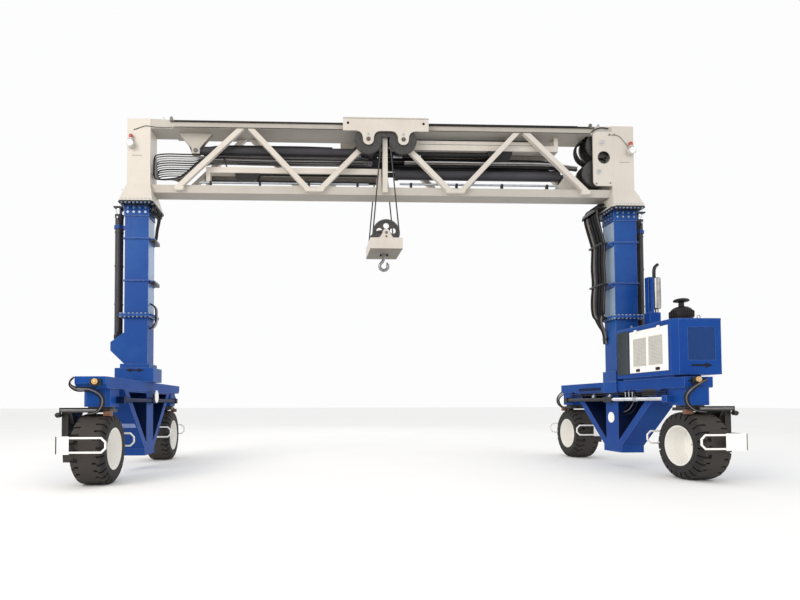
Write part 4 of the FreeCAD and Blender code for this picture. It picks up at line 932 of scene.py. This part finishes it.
slab("right_hose_chute", (4.84, 5.10, -0.16, 0.40, 5.835, 5.855), -X,
     [(0, (-0.045, 0, -0.03)), (0, (-0.020, 0, -0.06)), (0, (0, 0, -0.05))],
     "portal", black, 0.004, smooth=60)
slab("right_hose_foot_clip", (5.125, 5.176, 0.08, 0.24, 2.86, 2.91), -X, [(0.010, 0.006)],
     "right_leg", black, 0.004)

# Pale plates of painted sheen on the masts' inner faces, lighter on the right, between the rings,
# and ends on the left's shelves.
for side, word in SIDES:
    x = side * (leg_x - mast_half_x)
    for i, (z0, z1) in enumerate(((ring_zs[0] + 0.035, mast_top - 0.245),
                                  (ring_zs[1] + 0.035, ring_zs[0] - 0.075),
                                  (flange_z + 0.060, ring_zs[1] - 0.075))):
        slab("%s_inner_cover_%d" % (word, i),
             (x + side * 0.001, x - side * 0.0025, -mast_half_y + 0.018, mast_half_y - 0.030, z0,
              z1),
             -X * side, [(0.012, -0.001)], word + "_leg", left_painted_sheen_blue if side < 0 else right_painted_sheen_blue,
             0.0008, 1)
for i, z in enumerate(ring_zs):
    slab("left_shelf_end_%d" % i, (-5.155, -5.040, -0.195, 0.195, z - 0.058, z - 0.0135), -Z,
         [(0, (0.012, 0, -0.018), (0.8, 0.9, 1))], "left_leg", black, 0.004)
left_chute = block("left_hose_chute", -5.085, -5.000, -0.30, 0.22, 5.600, 5.742)
work(left_chute, X, (0.018, -0.030))
work(left_chute, -Z, (0, (-0.02, 0, -0.05), (0.6, 0.5, 1)))
done(left_chute, "portal", black, 0.006)
for i, y in enumerate((-0.16, -0.10, -0.05)):
    bridging_hose("left_mast_hose_%d" % i,
                  [(-5.02, y, 5.70), (-4.985 + 0.012 * i, y, 5.56), (-4.99, y, 5.40),
                   (-5.03, y + 0.02, 5.24), (-5.045, y + 0.04, 5.12), (-5.06, y + 0.05, 5.055)],
                  0.018, hose_black)
for i, y in enumerate((-0.10, 0.02)):
    fixed_hose("left_flange_hose_%d" % i,
               [(-5.165, y, 3.62), (-5.11, y, 3.60), (-5.045, y, 3.53), (-5.040, y, 3.36),
                (-5.045, y, 3.20), (-5.11, y, 3.10), (-5.165, y, 3.08)],
               0.017, "left_leg", hose_pale if i else hose_black)


# ---------------------------------------------------------------- engine house
def perforated(name, sides, columns, rows, look, body, material):
    """Perforated sheet: a fine grid whose cells are sunk. Real holes are about 8 mm; these are
    drawn about three times coarser so that they show."""
    sheet = block(name, *sides)
    across = Y if abs(look) == X else X
    for axis, count in ((across, columns), (Z, rows)):
        low, high = sides[2 * axis - 2:2 * axis]
        cut_across(sheet, axis, [low + (high - low) * i / count for i in range(1, count)])
    sink_cells(sheet, lambda c, n: n[abs(look) - 1] * look > 0.9,
               (sides[5] - sides[4]) / rows * 0.17, 0.004)
    return done(sheet, body, material, smooth=25)


door_face = 5.075
for i, (y0, y1) in enumerate(((-1.400, -0.990), (-1.890, -1.480))):
    slab("door_mesh_frame_%d" % i,
         (door_face - 0.007, door_face + 0.002, y0 - 0.022, y1 + 0.022, 2.148, 2.762), -X,
         [(0.018, -0.004)], "engine_door", white, 0.002)
    perforated("door_mesh_%d" % i, (door_face - 0.0065, door_face - 0.0005, y0, y1, 2.170, 2.740),
               15, 21, -X, "engine_door", mesh_grey)
for i, y in enumerate((-1.135, -1.745)):
    slab("door_latch_%d" % i, (door_face - 0.016, door_face + 0.001, y - 0.055, y + 0.055, 2.060,
                               2.118),
         -X, [(0.010, -0.006), (0.008, 0.012)], "engine_door", black_plastic, 0.003)
slab("door_edge_frame", (door_face - 0.003, door_face + 0.002, -2.028, -0.867, 2.047, 2.893), -X,
     [(0.030, -0.004)], "engine_door", white, 0.002)
slab("house_side_panel", (5.070, 5.081, -0.838, -0.432, 2.020, 2.940), -X, [(0.022, -0.004)],
     "right_leg", grey_panel, 0.002)
perforated("house_front_mesh", (5.3445, 5.8605, -2.1935, -2.1875, 2.218, 2.829), 18, 21, -Y,
           "right_leg", louvre_blue)
# Roof seam and lifting eyes.
for word, sides in (("front", (5.17, 5.98, -2.206, -2.196)),
                    ("outer", (5.976, 5.986, -2.19, -0.42)),
                    ("inner", (5.074, 5.084, -2.09, -0.42))):
    slab("house_drip_edge_" + word, sides + (2.962, 2.992), -Z, [(0, 0.004)], "right_leg",
         bogie_blue, 0.002)
for i, (x, y) in enumerate(((5.62, -2.12), (5.20, -0.75), (5.45, -0.50))):
    only()
    bpy.ops.mesh.primitive_torus_add(major_radius=0.030, minor_radius=0.008, major_segments=20,
                                     minor_segments=8, location=(x, y, 3.036),
                                     rotation=(math.pi / 2, 0, 0.6 * i))
    eye = settle("house_lifting_eye_%d" % i)
    base = bar("eye_base", (x, y, 3.0005), (x, y, 3.012), 0.028, 16)
    done(joined("house_lifting_eye_%d" % i, [base, eye]), "right_leg", zinc)

# Muffler stand and post in house paint, shield with its seams, and the dark tail pipe.
for word, sides in (("stand", (5.6675, 5.908, -0.653, -0.467, 3.0005, 3.378)),
                    ("post", (5.6675, 5.7855, -0.623, -0.497, 3.379, 4.153))):
    slab("muffler_" + word + "_cladding", sides, -Y, [(0.018, -0.0015)], "right_leg", bogie_blue,
         0.003)
# The post's slots are sunk cells in a near-black strip: painted shade inside the slots.
strip = block("muffler_post_slots", 5.682, 5.706, -0.626, -0.618, 3.42, 4.12)
cut_across(strip, Z, [3.42 + 0.05 * i for i in range(1, 14)])
sink_cells(strip, lambda c, n: n.y < -0.9, 0.005, 0.003)
done(strip, "right_leg", marking_black, slot="black_paint")
shield = bar("muffler_shield", (5.885, -0.56, 3.50), (5.885, -0.56, 4.11), 0.0845, 48, "NOTHING")
cut_across(shield, Z, [3.50 + 0.61 * i / 30 for i in range(1, 30)])
sink_cells(shield, lambda c, n: 3.54 < c.z < 4.07, 0.0030, 0.0012)
done(shield, "right_leg", shield_steel, smooth=20)
fixed_hose("muffler_tail_pipe",
           [(5.838, -0.56, 4.10), (5.838, -0.56, 4.22), (5.838, -0.56, 4.30), (5.850, -0.56, 4.37),
            (5.884, -0.56, 4.41), (5.925, -0.56, 4.445)], 0.0335, "right_leg", exhaust_steel, 5)

# Air pre-cleaner: domed bowl with upright vanes, a neck and a cap, which stands for the CAD one.
bowl = Vector((5.672, -1.600, 0))
radius, steps = 0.150, []
cleaner = bar("cleaner", bowl + Vector((0, 0, 3.0003)), bowl + Vector((0, 0, 3.040)), radius, 48)
for rise, wide in ((0.030, 0.190), (0.055, 0.207), (0.060, 0.208), (0.050, 0.192), (0.045, 0.158),
                   (0.030, 0.110), (0.012, 0.062), (0.004, 0.050), (0.085, 0.048), (0.006, 0.118),
                   (0.012, 0.137), (0.018, 0.139), (0.022, 0.118), (0.014, 0.070), (0.004, 0.020)):
    steps.append((0, rise, wide / radius))
    radius = wide
parts = [outward(work(cleaner, Z, *steps))]
for i in range(30):
    vane = block("vane", 0.190, 0.2125, -0.006, 0.006, 3.105, 3.225)
    only(work(vane, X, (0, 0.0015, (1, 0.6, 0.75))))
    vane.data.transform(Matrix.Translation(bowl) @ Matrix.Rotation(math.radians(12 * i), 4, "Z"))
    parts.append(vane)
cleaner = done(joined("precleaner", parts), "right_leg", black_plastic)
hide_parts("air_precleaner")


# ---------------------------------------------------------------- markings
def arrow(name, x0, x1, y, z, shaft, head, two_way, body):
    """Plain direction arrow in vinyl, 1 mm thick, on a face that looks along -Y."""
    start = x0 + (head if two_way else 0)
    piece = block(name, start, x1 - head, y - 0.001, y, z - shaft / 2, z + shaft / 2)
    for way, tip in ((1, x1 - head), (-1, start))[:2 if two_way else 1]:
        pick(piece, lambda c, n: n.x * way > 0.9 and abs(c.x - tip) < 0.001)
        draw_out((0, 0, 0), (1, 1, 2.6))
        draw_out((way * head, 0, 0), (1, 1, 0.04))
    return done(outward(piece), body, marking_black, smooth=20)


arrow("house_arrow", 5.400, 5.800, -2.2003, 2.120, 0.042, 0.13, False, "right_leg")
arrow("left_base_arrow", -5.62, -5.22, -0.3103, 2.150, 0.034, 0.13, True, "left_leg")
arrow("right_beam_arrow", 5.22, 5.36, -2.3353, 1.825, 0.030, 0.05, False, "right_leg")

# ---------------------------------------------------------------- girder
bundle_skins = (hose_black, hose_grey, hose_pale, hose_grey, hose_black, hose_grey, hose_pale)
# Hoses that loop back in the left bay and run on under the traverse cylinder.
for i in range(11):
    y = -0.150 + 0.030 * i
    left = -5.088 + 0.010 * (i % 4)
    top = 6.925 - 0.036 * i
    low = 6.352 + 0.012 * i
    end_x = -0.35 - 0.1 * (i % 3)
    route = [(end_x, 6.925 - 0.01 * (i % 3)), (-1.6, 6.915 - 0.012 * (i % 4)),
             (-2.9, 6.925 - 0.008 * (i % 3)), (-3.70, max(top, 6.915)), (-4.03, max(top, 6.885)),
             (-4.20, max(top, 6.755)), (-4.33, max(top, 6.625)), (-4.48, max(top, 6.52)),
             (-4.72, top + 0.008), (-4.96, top - 0.006), (left, top - 0.045),
             (left - 0.004, (top + low) / 2), (left, low + 0.045), (left + 0.07, low),
             (-4.74, low + 0.022), (-4.54, 6.405), (-4.38, 6.52), (-4.22, 6.685), (-4.06, 6.815),
             (-3.80, 6.862), (-2.9, 6.855 - 0.010 * (i % 3)), (-1.6, 6.842 + 0.010 * (i % 2)),
             (end_x + 0.1, 6.850)]
    fixed_hose("left_bay_hose_%d" % i, [(x, y, z) for x, z in route], 0.0155 if i % 2 else 0.0140,
               "portal", bundle_skins[i % 7], 1)
for x in (-3.55, -2.25, -0.95):
    strap = block("bay_hose_strap_%d" % round(-x * 100), x - 0.02, x + 0.02, -0.190, 0.190, 6.812,
                  6.826)
    pick(strap, lambda c, n: n.z < -0.9)
    bpy.ops.transform.resize(value=(0.8, 1, 1), center_override=(x, 0, 6.812))
    done(strap, "portal", black, 0.003)
# Hoses and pipes along the right bays between the two cylinders, clear of the carriage's path.
for i in range(8):
    y = (0.140, 0.172)[i % 2]
    z = 6.775 + 0.038 * i
    wave = 0.006 * (i % 3)
    fixed_hose("right_bay_hose_%d" % i,
               [(-0.25 + 0.04 * i, y, z), (0.6, y, z + wave), (1.5, y, z - wave),
                (2.5, y, z + wave),
                (3.3, y, z - wave / 2), (3.75, y - 0.01, z - 0.01),
                (4.05, y - 0.05, z - 0.04 - 0.01 * i),
                (4.30, 0.05 + 0.006 * i, 6.80 + 0.012 * i),
                (4.48, 0.02 + 0.006 * i, 6.77 + 0.012 * i)],
               0.0195, "portal", hose_grey if i == 5 else hose_black, 1)
# Trays at the back of the bays: a black sheet and grey-brown sheets of painted shade behind the
# hoses.
for name, x0, x1, y1, z0, z1, rim, skin in (
        ("right_bay_tray", -0.10, 3.90, 0.1935, 6.752, 7.050, 0.012, black),
        ("right_bay_upper_tray", -0.10, 3.90, 0.1930, 7.054, 7.196, 0.010, painted_shade_grey_brown),
        ("left_bay_low_tray", -4.05, -0.12, 0.1930, 6.430, 6.612, 0.010, painted_shade_grey_brown)):
    slab(name, (x0, x1, 0.1890, y1, z0, z1), -Y, [(rim, -0.0015)], "portal", skin, 0.001, 1)
for i in range(3):
    y, z = -0.135 - 0.024 * i, 6.745 + 0.034 * i
    fixed_hose("right_bay_front_hose_%d" % i,
               [(0.45, y, z), (1.4, y, z + 0.006), (2.3, y, z - 0.004), (3.1, y, z + 0.006),
                (3.72, y, z), (4.05, y + 0.03, z - 0.01), (4.42, y + 0.08, z - 0.03)],
               0.0145, "portal", bundle_skins[i], 1)
for i, (y, z) in enumerate(((-0.05, 7.274), (0.0, 7.276), (0.05, 7.276), (-0.02, 7.306))):
    fixed_hose("guide_top_hose_%d" % i,
               [(0.80, y, z), (1.3, y, z + 0.003), (2.1, y, z), (2.8, y, z + 0.002),
                (3.25, y, z + 0.01), (3.55, y, z + 0.06)],
               0.017, "portal", hose_grey if i == 2 else hose_black, 1)
for i, z in enumerate((6.452, 6.492)):
    fixed_hose("low_bay_hose_%d" % i,
               [(-3.95, 0.135, z), (-3.2, 0.135, z - 0.004), (-2.3, 0.135, z + 0.005),
                (-1.3, 0.135, z - 0.003), (-0.15, 0.135, z)],
               0.0145, "portal", hose_grey if i else hose_black, 1)
# Return pipes of zinc plated steel, one on each half, in saddles on the bottom chord.
for x0, x1, z, word in ((-4.10, -0.35, 6.312, "left"), (0.35, 3.94, 6.330, "right")):
    pipe = bar("return_pipe_" + word, (x0, -0.130, z), (x1, -0.130, z), 0.023, 20)
    pick_ends(pipe, X)
    bpy.ops.mesh.inset(thickness=0.004)
    bpy.ops.mesh.extrude_region_shrink_fatten(TRANSFORM_OT_shrink_fatten={"value": -0.012})
    done(pipe, "portal", zinc, 0.002, 1)
    for k, x in enumerate(even(x0 + 0.25, x1 - 0.25, 4)):
        slab("%s_pipe_saddle_%d" % (word, k),
             (x - 0.025, x + 0.025, -0.165, -0.095, 6.2255, z + 0.012),
             Z, [(0, 0.014, (0.8, 0.6, 1))], "portal", black_plastic, 0.003)
# Black travel rope along the front and back of the top chord, and the leads beside it.
rope_z = 7.612
for side, word in FACES:
    y = side * 0.262
    fixed_hose("travel_rope_" + word, [(x, y, rope_z) for x in (-4.62, -3.0, 0, 3.0, 4.66)], 0.0165,
               "portal", hose_black)
    for way, end, x in ((-1, "left", -4.655), (1, "right", 4.675)):
        stud("travel_rope_socket_%s_%s" % (word, end), (x - 0.045, y, rope_z),
             (x + 0.045, y, rope_z),
             0.0215, 16, X * way, [(0, 0.02, 0.6)], "portal", forged, 0.003)
fixed_hose("chord_lead",
           [(-5.50, -0.2600, 7.405), (-5.40, -0.2600, 7.44), (-5.25, -0.2600, 7.500),
            (-5.14, -0.2610, 7.485), (-5.00, -0.2615, 7.462), (-4.75, -0.2640, 7.458),
            (-4.64, -0.300, 7.458)] + [(x, -0.3068, 7.458) for x in (-4.45, -3.0, 0.0, 3.0, 4.62)],
           0.0065, "portal", hose_black, 1)
fixed_hose("column_lead",
           [(5.05, -0.2600, 7.44), (5.20, -0.2600, 7.47), (5.33, -0.2600, 7.42),
            (5.42, -0.2600, 7.30), (5.50, -0.2600, 7.20)], 0.006, "portal", hose_grey, 1)

# Small grooved pulleys between two cheeks on a foot, on the top chord.
chord_top = 7.6503          # just clear of the top chord's upper face
for word, x, radius, skin in (("left_outer", -4.87, 0.028, zinc),
                              ("left_inner", -4.70, 0.036, forged),
                              ("right_inner", 4.68, 0.036, forged),
                              ("right_outer", 4.86, 0.030, zinc)):
    name, y, axle_z = word + "_guide_pulley", -0.200, 7.652 + radius + 0.012
    pulley = bar(name, (x, y - 0.014, axle_z), (x, y + 0.014, axle_z), radius, 24)
    pick_ends(pulley, Y)
    bpy.ops.mesh.inset(thickness=radius * 0.35)
    bpy.ops.mesh.extrude_region_shrink_fatten(TRANSFORM_OT_shrink_fatten={"value": -0.005})
    cheeks = [work(block("cheek", x - radius * 0.9, x + radius * 0.9, y + way * 0.020,
                         y + way * 0.026,
                         chord_top, 7.652 + radius), Z, (0, radius * 0.7, (0.45, 1, 1)))
              for way in (-1, 1)]
    foot = block("foot", x - radius, x + radius, y - 0.03, y + 0.03, chord_top, 7.658)
    done(joined(name, [pulley, foot] + cheeks), "portal", skin, 0.001, 1, "forged_steel", 40)
for word, x0, x1 in (("left", -5.30, -4.92), ("right", 4.92, 5.42)):
    fixed_hose(word + "_top_lead", [(x0, -0.19, 7.672), ((x0 + x1) / 2, -0.19, 7.674),
                                    (x1, -0.19, 7.672)], 0.0065, "portal", hose_black, 1)

# Covers on the cylinders' tail brackets: a neck round the pin that widens to a wide foot.
for word, x, z_chord, z_nose, foot, toward in (("traverse", -4.2, 7.4485, 6.993, 0.37, -1),
                                               ("hoist", 4.2, 6.2265, 6.662, 0.32, 1)):
    neck = z_nose - toward * 0.120
    boss_z = z_nose - toward * 0.070
    for way, face in FACES:
        plate = block("%s_tail_bracket_%s" % (word, face), x - 0.090, x + 0.090,
                      way * 0.0645, way * 0.0405, neck, z_nose)
        work(plate, -Z * toward, (0, (0, 0, z_chord - neck), (foot / 0.090, 1, 1)))
        work(plate, Y * way, (0.010, -0.001))
        # The chords' darker cream, with painted shade on the faces that look down.
        done(outward(plate), "portal", shaded_chord_cream, smooth=20)
        stud("%s_tail_pin_cap_%s" % (word, face), (x, way * 0.0648, boss_z),
             (x, way * 0.0800, boss_z),
             0.046, 24, Y * way, [(0.012, 0.008, 0.7)], "portal", forged, 0.003)


# ---------------------------------------------------------------- sheave stack and trolley
def sheave_cheeks(x, y, z, radius):
    """Dark cheeks over both sides of a sheave: rim band, dished web and hub ring."""
    cheeks = []
    for way in (-1, 1):
        face = y + way * 0.0235
        cheek = bar("cheek", (x, face, z), (x, face + way * 0.003, z), radius, 72)
        cheeks.append(work(cheek, Y * way, (0.050, -0.0025), (0.140, 0.0035), (0.018,)))
    return cheeks


stack = (("low", 4.819, 6.617), ("high", 4.908, 7.282))
for level, x, z in stack:
    for y, word in ((-0.15, "front"), (0.15, "back")):
        cheeks = sheave_cheeks(x, y, z, 0.3125)
        rim = bar("rim", (x, y - 0.0236, z), (x, y + 0.0236, z), 0.3128, 72, "NOTHING")
        pick(rim, lambda c, n: True)
        bpy.ops.mesh.inset(thickness=0.006)
        done(joined("stack_sheave_%s_%s" % (level, word), cheeks + [rim]), "portal", sheave_iron,
             smooth=30)
for i, y in enumerate((-0.052, 0.0, 0.052)):
    lean = 0.01 * i
    fixed_hose("stack_loop_hose_%d" % i,
               [(4.80, y, 7.33), (4.68, y, 7.375), (4.56, y, 7.385), (4.455 + lean, y, 7.335),
                (4.405 + lean, y, 7.215), (4.415 + lean, y, 7.09), (4.485, y, 6.98),
                (4.58, y, 6.90), (4.70, y, 6.86), (4.82, y, 6.85)], 0.0235, "portal", hose_black)
for level, x, z in stack:
    stud("stack_pin_cap_%d" % round(z * 1000), (x, -0.2765, z), (x, -0.288, z), 0.042, 6, -Y,
         [(0.010, 0.010, 0.8)], "portal", zinc, 0.003)
for i, (x, y, z) in enumerate(((5.195, -0.2505, 7.468), (5.085, -0.2605, 6.36),
                               (5.085, -0.2605, 7.47), (4.765, -0.2605, 6.345))):
    stud("stack_bolt_%d" % i, (x, y, z), (x, y - 0.012, z), 0.017, 6, -Y, [(0, 0.003, 0.8)],
         "portal", forged, 0.001, 1)

for side, word in FACES:
    for way, end in SIDES:
        for name, x, z, y0, y1, radius, sides, steps, *finish in (
                ("ear_axle_cap", sheave_x, sheave_z, 0.4302, 0.446, 0.046, 32,
                 [(0.010, -0.004), (0.014, 0.012, 0.8)], forged, 0.002),
                ("ear_keeper", sheave_x, 7.302, 0.4302, 0.438, 0.040, 3, [(0.008, -0.003)], zinc,
                 0.002),
                ("plate_plug", 0.830, 7.5447, 0.4295, 0.4345, 0.023, 24, [(0.006, -0.004)],
                 black_plastic, 0.001, 1)):
            stud("%s_%s_%s" % (name, word, end), (way * x, side * y0, z), (way * x, side * y1, z),
                 radius, sides, Y * side, steps, "trolley", *finish)
    lip = block("trolley_lip_seal_" + word, -0.935, 0.935, side * 0.4383, side * 0.4403, 7.6445,
                7.6505)
    pick_ends(lip, X)
    draw_out((0, 0, 0), (1, 0.9, 0.6))
    done(lip, "trolley", hose_grey)

# Dark covers on the trolley's sheaves, and plates that widen its ears up to the side plates.
for way, end in SIDES:
    for side, word in FACES:
        x, y = way * sheave_x, side * sheave_y
        place = end + "_" + word
        done(joined("trolley_sheave_cover_" + place, sheave_cheeks(x, y, sheave_z, 0.2985)),
             "trolley",
             sheave_iron, smooth=30)
        ear = block("trolley_ear_web_" + place, x - 0.262, x + 0.262, side * 0.4075, side * 0.4325,
                    7.378, 7.386)
        half, steps = 0.262, []
        for drop, next_half in ((0.014, 0.205), (0.024, 0.165), (0.040, 0.137), (0.050, 0.121),
                                (0.056, 0.117)):
            steps.append((0, drop, (next_half / half, 1, 1)))
            half = next_half
        done(outward(work(ear, -Z, *steps)), "trolley", cream, smooth=20)
# Dark bridges between each pair of trolley sheaves, under the side plates.
for side, word in FACES:
    slab("trolley_bridge_" + word, (-0.340, 0.340, side * 0.341, side * 0.386, 7.268, 7.3785), -Z,
         [(0.008, -0.002)], "trolley", sheave_iron, 0.004)
# Hose manifold in the middle bay, where the left bay's hoses end, and its fittings.
slab("centre_manifold", (-0.86, -0.06, 0.125, 0.180, 6.700, 7.030), -Y,
     [(0.020, 0.006), (0.040, -0.004)], "portal", cylinder_grey, 0.003)
for i, (x, z) in enumerate(((-0.62, 6.93), (0.30, 6.93), (0.72, 6.94))):
    fitting = block("centre_fitting_%d" % i, x - 0.10, x + 0.10, -0.185, -0.150, z - 0.026,
                    z + 0.026)
    pick_ends(fitting, X)
    bpy.ops.mesh.inset(thickness=0.008)
    draw_out((0, 0, 0), (1, 0.7, 0.7))
    done(fitting, "portal", zinc, 0.006)
# Dark web between the chords' frames, seen between the sheaves.
slab("centre_web_plate", (-0.34, 0.37, -0.129, -0.123, 7.175, 7.455), -Y, [(0.012, -0.002)],
     "portal", grey_panel, 0.001, 1)

# Falls of wire rope, from the trolley's sheaves to the hook block's, on their crossed tangents.
fall_top, fall_foot = 7.1450, 5.1930
falls = []
for y in (-sheave_y, sheave_y):
    for side in (-1, 1):
        fall = bar("fall", (side * 0.1003, y, fall_top), (side * 0.2847, y, fall_foot), 0.0150, 14)
        pick(fall, lambda a, b: abs(a.z - b.z) > 1, edges=True)
        bpy.ops.mesh.subdivide(number_cuts=31)
        falls.append(fall)
ropes = joined("hoist_rope_falls", falls)
only(ropes)
bpy.ops.object.shade_smooth_by_angle(angle=math.radians(60))
ropes.data.materials.append(rope)
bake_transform(ropes)
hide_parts("hoist_ropes")

# Bolts on the hook block's centre cheeks, dark blocks of painted shade in the recesses beside the
# lugs, and a floor sheet of grey-brown painted shade.
for side, word in FACES:
    for i, (z, tip, radius) in enumerate(((5.146, 0.414, 0.034), (5.062, 0.412, 0.024),
                                          (4.985, 0.412, 0.014))):
        stud("block_bolt_%s_%d" % (word, i), (0, side * 0.398, z), (0, side * tip, z), radius, 6,
             Y * side, [(radius * 0.25, 0.006, 0.8)], "hook_block", forged, 0.002)
for side, word in SIDES:
    slab("block_recess_shade_" + word, (side * 0.0635, side * 0.0925, -0.027, 0.027, 4.721, 4.7895),
         -Z,
         [(0.006, -0.004)], "hook_block", black, 0.002)
sheets = [work(block("sheet", *sides, 4.7870, 4.7898), -Z, (0.004, -0.0004)) for sides in (
    (-0.353, -0.100, -0.428, 0.428), (0.100, 0.353, -0.428, 0.428),
    (-0.100, 0.100, 0.066, 0.428), (-0.100, 0.100, -0.428, -0.066))]
done(joined("block_floor_sheet", sheets), "hook_block", painted_shade_grey_brown)

# Black strip of painted shadow along the rope on the front of the top chord's right half, a strip
# and a rail over the right guide, hoses on the traverse cylinder's back, and the rope guard over
# the sheave stack.
slab("chord_rope_shadow_strip", (0.05, 4.36, -0.2575, -0.2503, 7.6235, 7.6500), -Y,
     [(0, 0.001, (1, 1, 0.7))], "portal", black, 0.001, 1)
slab("guide_top_strip", (0.34, 3.55, -0.104, -0.098, 7.262, 7.338), -Y, [(0.008, -0.0015)],
     "portal", cream, 0.001, 1)
fixed_hose("guide_top_pipe", [(0.36, -0.105, 7.352), (1.4, -0.105, 7.353), (2.6, -0.105, 7.351),
                              (3.5, -0.105, 7.353)], 0.011, "portal", hose_black, 1)
for i, y in enumerate((-0.03, 0.03)):
    fixed_hose("traverse_top_hose_%d" % i,
               [(-4.05, y, 7.100), (-3.80, y, 7.172), (-3.2, y, 7.182), (-2.4, y, 7.178),
                (-1.7, y, 7.182), (-1.15, y, 7.165)], 0.024, "portal", hose_black, 1)
fixed_hose("stack_rope_guard",
           [(4.66, -0.262, 7.50), (4.74, -0.262, 7.575), (4.86, -0.262, 7.615),
            (4.98, -0.262, 7.615),
            (5.06, -0.262, 7.595)], 0.013, "portal", black)

# ---------------------------------------------------------------- lamps on the columns
for side, word in SIDES:
    x, lamp_z, dome_y = side * 5.545, 7.065, -0.299
    stud(word + "_lamp_glass", (x, -0.3655, lamp_z), (x, -0.380, lamp_z), 0.070, 40, -Y,
         [(0, 0.010, 0.75), (0, 0.005, 0.5)], "portal", lamp_glass, 0.003)
    bezel = bar(word + "_lamp_bezel", (x, -0.355, lamp_z), (x, -0.372, lamp_z), 0.0825, 40,
                "NOTHING")
    modified(bezel, "SOLIDIFY", thickness=0.007, offset=-1)
    done(bezel, "portal", lamp_body, 0.002)
    stud(word + "_beacon_dome", (x, dome_y, 7.190), (x, dome_y, 7.262), 0.0405, 32, Z,
         [(0, 0.020, 0.88), (0, 0.010, 0.65), (0, 0.003, 0.3)], "portal", red_lens, 0.002)
    for i, (u, z) in enumerate(((0.12, 6.843), (-0.10, 6.078))):
        middle = x - side * u
        slab("%s_column_weld_%d" % (word, i),
             (middle - 0.11, middle + 0.11, -0.2525, -0.2498, z - 0.0035, z + 0.0035), -Y,
             [(0, 0.0015, (0.95, 1, 0.4))], "portal", cylinder_grey, slot="cream_paint")

# Pale band on the lower face of the left leg's front brace.
band_z, post_y = 0.985, 0.340
band = block("left_brace_band", -5.51, -5.21, -0.0025, 0.001, -0.062, 0.062)
only(work(band, -Y, (0.008, -0.0008)))
lean = math.atan2(beam_low - foot_top, wheel_y - 0.440 - post_y)
band.data.transform(Matrix.Translation((0, -post_y - (band_z - foot_top) / math.tan(lean), band_z))
                    @ Matrix.Rotation(math.pi / 2 - lean, 4, "X"))
done(outward(band), "left_leg", marking_band)
